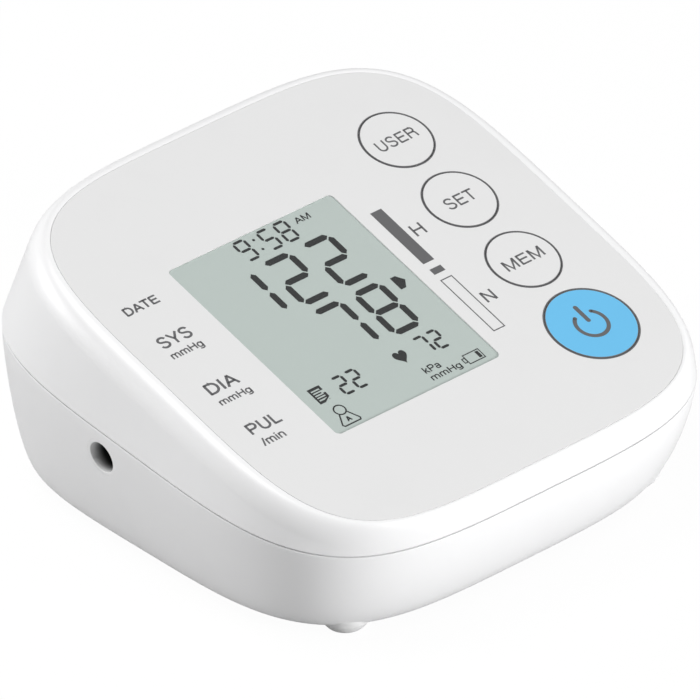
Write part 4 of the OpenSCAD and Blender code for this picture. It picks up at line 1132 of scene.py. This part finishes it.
class MONITOR_OT_air_socket(bpy.types.Operator):
    """Round socket for the cuff's air plug"""

    bl_idname = "monitor.air_socket"
    bl_label = "Air socket"

    def execute(self, context):
        x, sleeve, bore, air = SOCKET_X, SOCKET_SLEEVE_R, SOCKET_BORE_R, 1.0
        body, flange, depth = 5.5, 7.0, 12
        end, seat, behind = x + SOCKET_END, x + SOCKET_SEAT, x + SOCKET_SEAT + 1.5
        profile = [(end + NIPPLE_LEN, air), (end + NIPPLE_LEN, NIPPLE_R), (end, NIPPLE_R),
                   (end, body), (behind, body), (behind, flange), (seat, flange), (seat, sleeve),
                   (x - 2, sleeve), (x - 2, bore), (x + depth, bore), (x + depth, air)]
        bm = spun(profile, (0, SOCKET_Y, SOCKET_Z), ALONG_X, steps=96)
        wall = loft([belly_ring(math.radians(a), 0.02, FOOT_H) for a in range(0, 91, 3)])
        bm = carved(bm, wall, "INTERSECT")
        mouth = [e for e in bm.edges if all(
            v.co.x < x + 1.5 and abs(math.hypot(v.co.y - SOCKET_Y, v.co.z - SOCKET_Z) - bore) < 0.05
            for v in e.verts) and abs(e.verts[0].co.x - e.verts[1].co.x) < 0.2]
        rounded(bm, mouth, 0.15, 3)
        # The bore's colour fades to nearly black inward: painted shade.
        piece(bm, "socket_sleeve", CASE, "white_part", socket_with_painted_bore_shade(), replaces=("cuff_socket",))
        return {"FINISHED"}


# ---- Battery bay ----


class MONITOR_OT_battery_door(bpy.types.Operator):
    """Battery door: rolled front edge with hinge stubs, finger ribs, arrow and snap tab"""

    bl_idname = "monitor.battery_door"
    bl_label = "Battery door"

    def execute(self, context):
        half, rear = BAY_A - DOOR_GAP, BAY_REAR - DOOR_GAP
        floor_z = FOOT_H + FLOOR_T
        slab = self.softened((-half, HINGE_Y - 0.3, FOOT_H), (half, rear, floor_z), 0.3)
        edge = bmesh.new()
        rod(edge, (-half, HINGE_Y, HINGE_Z), (1, 0, 0), 2 * half, DOOR_EDGE_R, 48)
        stubs = bmesh.new()
        rod(stubs, (-half - 1.6, HINGE_Y, HINGE_Z), (1, 0, 0), 2 * half + 3.2, HINGE_R, 32)
        tab = self.softened((-6.5, rear - 1.2, floor_z - 0.5), (6.5, rear, floor_z + 1), 0.2)
        for part in (edge, stubs, tab):
            slab = carved(slab, part, "UNION")
        slots = bmesh.new()
        for x in (-8, 8):
            rounded_plate(slots, 1, 12, 0.48, FOOT_H - CUT, floor_z + 2 * CUT, x, rear - 3)
        slab = carved(slab, slots)
        turns = [math.radians(k) for k in range(0, 91, 15)]
        reach, r = 19.5, 0.6  # a finger groove: half its straight length, and its radius
        groove = [(-reach - r * math.cos(a), r * math.sin(a)) for a in turns]
        groove += [(reach + r * math.cos(a), r * math.sin(a)) for a in reversed(turns)]
        slab = carved(slab, gathered([
            spun(groove, (0, HINGE_Y + 14.5 + 3 * k, FOOT_H - 0.1), ALONG_X, 32)
            for k in range(5)]))
        arrow = bmesh.new()
        rod(arrow, (0, 0, 0), UP, 1.3, 2.8, 3)
        arrow.transform(Matrix.Translation((0, 2.4, FOOT_H - 1)) @ Matrix.Rotation(math.pi, 4, "Z"))
        slab = carved(slab, arrow)
        for x in (-1.5, -0.5, 0.5, 1.5):
            rib = self.softened((x * CELL_PITCH - 4, HINGE_Y + 8, floor_z - 0.4),
                                (x * CELL_PITCH - 3, rear - 10, floor_z + 0.2), 0.1)
            slab = carved(slab, rib, "UNION")
        piece(slab, "battery_door_shell", "door", "white_shell", shell_white(),
              replaces=("battery_door",), weighted=True)
        return {"FINISHED"}

    def softened(self, low, high, radius):
        """A cuboid with rounded edges."""
        bm = bmesh.new()
        block(bm, low, high)
        rounded(bm, bm.edges[:], radius, 4)
        return bm


def bay_place(i):
    """Where cell i of four stands its spring: nub to the back on the even ones."""
    return (Matrix.Translation(((i - 1.5) * CELL_PITCH, (BAY_FRONT + BAY_REAR) / 2, CELL_Z))
            @ Matrix.Rotation(math.pi * (i % 2), 4, "Z")
            @ Matrix.Translation((0, (BAY_FRONT - BAY_REAR) / 2 + PLATE_T, 0))
            @ Matrix.Rotation(-math.pi / 2, 4, "X"))


class MONITOR_OT_cells(bpy.types.Operator):
    """Four cells: jacket with a coloured band and polarity marks, crimped steel ends"""

    bl_idname = "monitor.cells"
    bl_label = "Cells"

    def execute(self, context):
        top = CELL_LEN - 1.8
        profile = [(0, 0), (0, 5.3), (0.25, 5.6), (0.25, 6.1), (0.0, 6.4), (0.15, 6.8),
                   (0.6, 6.95), (0.75, 7.05), (0.9, CELL_R)]
        profile += [(at, CELL_R) for at in (*MINUS, BAND_FROM, PLUS[0], *PLUS_BAR, PLUS[1])]
        profile += [(top - 0.3, CELL_R), (top - 0.1, 7.0), (top, 6.8), (top, 6.35),
                   (top + 0.35, 6.2), (top + 0.6, 5.7), (top + 0.6, 2.95), (top + 0.75, 2.7),
                   (CELL_LEN - 0.3, 2.65), (CELL_LEN, 2.3), (CELL_LEN, 0)]
        cells = []
        for i in range(4):
            bm = spun(profile, (0, 0, SPRING_LEN), Matrix(), 96)
            bm.faces.ensure_lookup_table()
            for f in bm.faces:
                at = f.calc_center_median()
                along, reach = at.z - SPRING_LEN, math.hypot(at.x, at.y)
                if reach < 7.0 and not 1 < along < top - 1 or along < 0.7:
                    f.material_index = 2
                elif self.marked(along, math.atan2(at.x, at.y) * CELL_R):
                    f.material_index = 3
                else:
                    f.material_index = 1 if along > BAND_FROM else 0
            bm.transform(bay_place(i))
            cells.append(bm)
        piece(gathered(cells), "cells", CASE, "cell_jacket",
              jacket("Graphite jacket", (0.06, 0.07, 0.09)),
              jacket("Copper band", (0.62, 0.30, 0.12)), spring_steel(),
              jacket("Polarity mark", (0.8, 0.8, 0.78)), replaces=("battery_cells",))
        return {"FINISHED"}

    def marked(self, along, across):
        """Whether a place on the jacket's lower side lies in its plus or minus sign."""
        if abs(across) > 2:
            return False
        bar = MINUS[0] < along < MINUS[1] or PLUS_BAR[0] < along < PLUS_BAR[1]
        return bar or PLUS[0] < along < PLUS[1] and abs(across) < 0.5


class MONITOR_OT_springs(bpy.types.Operator):
    """Conical contact springs of the cells, wide end on their plates"""

    bl_idname = "monitor.springs"
    bl_label = "Contact springs"

    def execute(self, context):
        wire, wide, taper, turns, per_turn = 0.4, 5.2, 2.2, 4, 32
        line = []
        for k in range(turns * per_turn + 1):
            t = k / (turns * per_turn)
            reach, turn = wide - taper * t, math.tau * turns * t
            line.append(Vector((reach * math.cos(turn), reach * math.sin(turn),
                                wire + (SPRING_LEN - 2 * wire) * t)))
        springs = []
        for i in range(4):
            bm = tube(line, wire, 16)
            bm.transform(bay_place(i))
            springs.append(bm)
        piece(gathered(springs), "contact_springs", CASE, "steel", spring_steel(),
              replaces=("battery_springs",))
        return {"FINISHED"}


# ---- Air hoses, coil and leads ----


def quarter(a, b, i, k):
    """Points between a and b on a quarter turn: out along axis i, then along axis k."""
    points = []
    for t in (math.radians(22.5), math.radians(45), math.radians(67.5)):
        share = [t / (math.pi / 2)] * 3
        share[i], share[k] = math.sin(t), 1 - math.cos(t)
        points.append(Vector([a[m] + (b[m] - a[m]) * share[m] for m in range(3)]))
    return points


class MONITOR_OT_hoses(bpy.types.Operator):
    """Four silicone hoses between the socket, manifold, valve, pump and sensor"""

    bl_idname = "monitor.hoses"
    bl_label = "Air hoses"

    def execute(self, context):
        def straight(x0, x1):
            return [Vector((x0 + (x1 - x0) * k / 6, SOCKET_Y, SOCKET_Z)) for k in range(7)]

        def curved(x, seat, tip, k):
            start = Vector((x, SOCKET_Y + MANIFOLD_HALF, SOCKET_Z))
            out = start + Vector((0, NIPPLE_LEN, 0))
            leave = out + Vector((0, 2, 0))
            arrive = tip + 2 * (tip - seat).normalized()
            return smooth_route([start, out, leave, *quarter(leave, arrive, 1, k), arrive, tip,
                                 seat])

        sensor = Vector(SENSOR_AT)
        routes = {
            "socket_hose": straight(SOCKET_X + SOCKET_END, MANIFOLD_X[0]),
            "valve_hose": straight(MANIFOLD_X[1], VALVE_X - 2),
            "pump_hose": curved(MANIFOLD_X[0] + 2.5, Vector((PUMP_X, PUMP_Y, PUMP_Z)),
                                Vector((PUMP_X - NIPPLE_LEN, PUMP_Y, PUMP_Z)), 0),
            "sensor_hose": curved(MANIFOLD_X[1] - 2.5, on_face(sensor, BOARD_BACK + SENSOR_H),
                                  on_face(sensor, BOARD_BACK + SENSOR_H + NIPPLE_LEN), 2),
        }
        for node, points in routes.items():
            piece(tube(points, HOSE_R, 32, HOSE_BORE_R), "soft_" + node, CASE, "hose_rubber",
                  silicone(), replaces=(node,))
        return {"FINISHED"}


class MONITOR_OT_coil(bpy.types.Operator):
    """Valve coil: layers of wire on a flanged bobbin"""

    bl_idname = "monitor.coil"
    bl_label = "Valve coil"

    def execute(self, context):
        x0, x1 = VALVE_X + 1.0, VALVE_X + VALVE_LEN - 1.0
        at = (0, SOCKET_Y, SOCKET_Z)
        bobbin = spun([(x0, 2.05), (x0, COIL_R), (x0 + 1, COIL_R), (x0 + 1, COIL_R - 1.2),
                       (x1 - 1, COIL_R - 1.2), (x1 - 1, COIL_R), (x1, COIL_R), (x1, 1.0),
                       (x1 - 2, 1.0), (x1 - 2, 2.05)], at, ALONG_X, 64)
        wires = 48
        pitch = (x1 - x0 - 2) / wires
        outer = [(x0 + 1 + pitch * (k + (1 - math.cos(a)) / 2),
                  COIL_R - 0.5 - pitch * (1 - math.sin(a)))
                 for k in range(wires) for a in (math.pi * j / 4 for j in range(4))]
        wound = spun([(x0 + 1, COIL_R - 1.2), *outer, (x1 - 1, COIL_R - 0.5 - pitch),
                      (x1 - 1, COIL_R - 1.2)], at, ALONG_X, 64)
        piece(bobbin, "coil_bobbin", CASE, "white_part", socket_white(), replaces=("valve_coil",))
        piece(wound, "coil_winding", CASE, "copper", enamelled_copper())
        return {"FINISHED"}


class MONITOR_OT_leads(bpy.types.Operator):
    """Leads of the motor, valve and battery, one of each pair black"""

    bl_idname = "monitor.leads"
    bl_label = "Leads"

    def execute(self, context):
        red = wire_jacket("Red lead", (0.55, 0.02, 0.02))
        black = wire_jacket("Black lead", (0.02, 0.02, 0.022))
        for s, shade, slot, sign in ((1, red, "red_lead", "plus"),
                                     (-1, black, "black_lead", "minus")):
            x, y = PUMP_END + 2.5, PUMP_Y + 6 * s
            motor = self.lead((x, y, PUMP_Z), (1.5, 0, 0), [
                (x + 2.6, y - 1.5, PUMP_Z + 3), (x + 2.2, PUMP_Y - 6 + 2 * s, PUMP_Z + 13)],
                HEADERS[2], -2 * s)
            x = VALVE_X + VALVE_LEN
            valve = self.lead((x, SOCKET_Y + 3 * s, SOCKET_Z + 3), (1.5, 0, 0), [
                (x + 2.4, SOCKET_Y + 2 * s, SOCKET_Z + 6)], HEADERS[1], 2 * s)
            x, y = 1.5 * CELL_PITCH * s, BAY_FRONT - BAY_WALL - 1.5
            over = BAY_ROOF + BAY_WALL + 1.6
            battery = self.lead((x, y, CELL_Z + 2), (0, -1.2, 0), [
                (x - 1.5 * s, y - 1.6, CELL_Z + 6), (x - 8 * s, y + 1.6, over)],
                HEADERS[0], 2 * s)
            for name, bm in (("motor", motor), ("valve", valve), ("battery", battery)):
                piece(bm, f"{name}_lead_{sign}", CASE, slot, shade,
                      replaces=(f"{name}_leads",) if s == 1 else ())
        return {"FINISHED"}

    def lead(self, start, out, via, header, dx):
        """A wire that leaves start straight and drops into its header."""
        start, out = Vector(start), Vector(out)
        at = Vector((header[0] + dx, header[1]))
        foot, below = (on_face(at, BOARD_BACK + HEADER_H + d) for d in (0, 2))
        return tube(smooth_route([start, start + out / 2, start + out, *via, below,
                                  (below + foot) / 2, foot]), LEAD_R, 16)


# ---- Everything else that the frame carries ----


class MONITOR_OT_inner_parts(bpy.types.Operator):
    """Finishes for the parts inside, which keep the shapes of the frame"""

    bl_idname = "monitor.inner_parts"
    bl_label = "Inner parts"

    def execute(self, context):
        looks = {
            "clear_lens": lens_clear, "white_shell": shell_white, "grey_panel": panel_grey,
            "display_cell": lcd_reflector, "grey_key": panel_grey, "blue_key": key_blue,
            "steel": spring_steel, "white_part": socket_white,
        }
        plain = {
            "grey_frame": ((0.45, 0.45, 0.45), 0.5), "black_part": ((0.03, 0.03, 0.03), 0.45),
            "circuit_board": ((0.02, 0.17, 0.07), 0.35), "dark_rubber": ((0.05, 0.05, 0.05), 0.7),
            "hose_rubber": ((0.7, 0.7, 0.68), 0.55), "white_rubber": ((0.84, 0.84, 0.84), 0.6),
            "cell_jacket": ((0.1, 0.12, 0.16), 0.35), "red_lead": ((0.55, 0.03, 0.03), 0.5),
            "black_lead": ((0.02, 0.02, 0.02), 0.5), "copper": ((0.72, 0.32, 0.16), 0.3),
            "motor_steel": ((0.6, 0.6, 0.62), 0.32),
        }
        slots = {row["node"]: row["material_slot"] for row in frame["record"]["subparts"]}
        for node, obj in frame["nodes"].items():
            slot = slots[node]
            if slot in looks:
                material = looks[slot]()
            else:
                colour, rough = plain[slot]
                metal = {"Metallic": 1.0} if slot in ("copper", "motor_steel") else {}
                material = finish_material(slot.replace("_", " ").capitalize(), colour, rough,
                                           tone=0.08, bump=0.05, **metal)
            obj.data.materials.clear()
            obj.data.materials.append(material)
        return {"FINISHED"}


# ---- Stage ----


# Lamps: name, place and disk size in metres, watts. Camera: direction from what it aims at.
LAMPS = (("front_right", (0.46, -1.2, 0.26), 0.45, 14.0),
         ("rear_left", (-0.85, 0.92, 0.41), 0.6, 6.2), ("top", (-0.36, 0.3, 1.24), 0.8, 9.1))
LAMP_AIM = (0, 0, 0.03)
CAMERA_BACK, CAMERA_AIM = (-0.5692, -0.6262, 0.5329), (-0.0076, -0.00855, 0.0394)
CAMERA_DISTANCE, VIEW_WIDTH, SENSOR_MM = 4.0, 0.1607, 36.0
FLOOR_TONE, FLOOR_GLOW = 0.56, 1.035


class MONITOR_OT_stage(bpy.types.Operator):
    """Pale floor, studio lamps and the camera"""

    bl_idname = "monitor.stage"
    bl_label = "Stage"

    def execute(self, context):
        self.floor()
        self.world(context.scene)
        self.lamps()
        self.camera(context.scene)
        return {"FINISHED"}

    def floor(self):
        bm = bmesh.new()
        bmesh.ops.create_grid(bm, x_segments=1, y_segments=1, size=3.0)
        mesh = bpy.data.meshes.new("floor")
        bm.to_mesh(mesh)
        bm.free()
        floor = bpy.data.objects.new("floor", mesh)
        bpy.context.scene.collection.objects.link(floor)
        material = bpy.data.materials.new("Pale floor")
        material.use_nodes = True
        tree = material.node_tree
        tree.nodes.clear()
        matt = add_node(tree, "BsdfDiffuse", {"Color": (*[FLOOR_TONE] * 3, 1)})
        glow = add_node(tree, "Emission", {"Strength": FLOOR_GLOW})
        camera_ray = add_node(tree, "LightPath").outputs["Is Camera Ray"]
        seen = math_node(tree, "MULTIPLY", camera_ray, 0.93)
        blend = add_node(tree, "MixShader", {"Fac": seen, 1: matt.outputs[0], 2: glow.outputs[0]})
        add_node(tree, "OutputMaterial", {"Surface": blend.outputs[0]})
        mesh.materials.append(material)

    def world(self, scene):
        """White to the camera and through the window, dimmer to reflections and to shading."""
        world = bpy.data.worlds.new("Studio")
        world.use_nodes = True
        tree = world.node_tree
        back = tree.nodes["Background"]
        back.inputs["Color"].default_value = WHITE
        ray = add_node(tree, "LightPath").outputs
        seen = math_node(tree, "MAXIMUM", ray["Is Camera Ray"], ray["Is Transmission Ray"])
        mirrored = math_node(tree, "MULTIPLY", ray["Is Glossy Ray"], 0.6)
        level = add_node(tree, "MapRange", {
            "Value": math_node(tree, "MAXIMUM", seen, mirrored), "To Min": 0.25, "To Max": 1.0})
        tree.links.new(level.outputs["Result"], back.inputs["Strength"])
        scene.world = world

    def lamps(self):
        for name, at, size, watts in LAMPS:
            lamp = bpy.data.lights.new(name, "AREA")
            lamp.shape, lamp.size, lamp.energy = "DISK", size, watts
            holder = bpy.data.objects.new(name, lamp)
            holder.location = at
            way = Vector(LAMP_AIM) - Vector(at)
            holder.rotation_euler = way.to_track_quat("-Z", "Y").to_euler()
            bpy.context.scene.collection.objects.link(holder)

    def camera(self, scene):
        """A long lens far away, so that parallel edges stay nearly parallel."""
        back = Vector(CAMERA_BACK).normalized()
        lens = bpy.data.cameras.new("camera")
        lens.sensor_width = SENSOR_MM
        lens.lens = SENSOR_MM * CAMERA_DISTANCE / VIEW_WIDTH
        lens.clip_end = 20.0
        holder = bpy.data.objects.new("camera", lens)
        holder.location = Vector(CAMERA_AIM) + back * CAMERA_DISTANCE
        holder.rotation_euler = back.to_track_quat("Z", "Y").to_euler()
        scene.collection.objects.link(holder)
        scene.camera = holder
        scene.view_settings.view_transform = "Standard"


OPERATORS = (MONITOR_OT_inner_parts, MONITOR_OT_upper_cover, MONITOR_OT_lower_case,
             MONITOR_OT_face_panel, MONITOR_OT_display, MONITOR_OT_print, MONITOR_OT_keys,
             MONITOR_OT_feet, MONITOR_OT_air_socket, MONITOR_OT_battery_door, MONITOR_OT_cells,
             MONITOR_OT_springs, MONITOR_OT_hoses, MONITOR_OT_coil, MONITOR_OT_leads,
             MONITOR_OT_stage)


class MONITOR_PT_sidebar(bpy.types.Panel):
    """Sizes, colours and the pieces in building order"""

    bl_idname = "MONITOR_PT_sidebar"
    bl_label = "Blood pressure monitor"
    bl_space_type = "VIEW_3D"
    bl_region_type = "UI"
    bl_category = "Monitor"

    def draw(self, context):
        for group in (context.scene.monitor_sizes, context.scene.monitor_colours):
            for name in group.__annotations__:
                self.layout.prop(group, name)
        for operator in OPERATORS:
            self.layout.operator(operator.bl_idname)


CLASSES = (MonitorSizes, MonitorColours, *OPERATORS, MONITOR_PT_sidebar)


def register():
    for cls in CLASSES:
        bpy.utils.register_class(cls)
    bpy.types.Scene.monitor_sizes = bpy.props.PointerProperty(type=MonitorSizes)
    bpy.types.Scene.monitor_colours = bpy.props.PointerProperty(type=MonitorColours)


def unregister():
    del bpy.types.Scene.monitor_colours
    del bpy.types.Scene.monitor_sizes
    for cls in reversed(CLASSES):
        bpy.utils.unregister_class(cls)


def main():
    register()
    for operator in OPERATORS:
        group, name = operator.bl_idname.split(".")
        getattr(getattr(bpy.ops, group), name)()


if __name__ == "__main__":
    main()
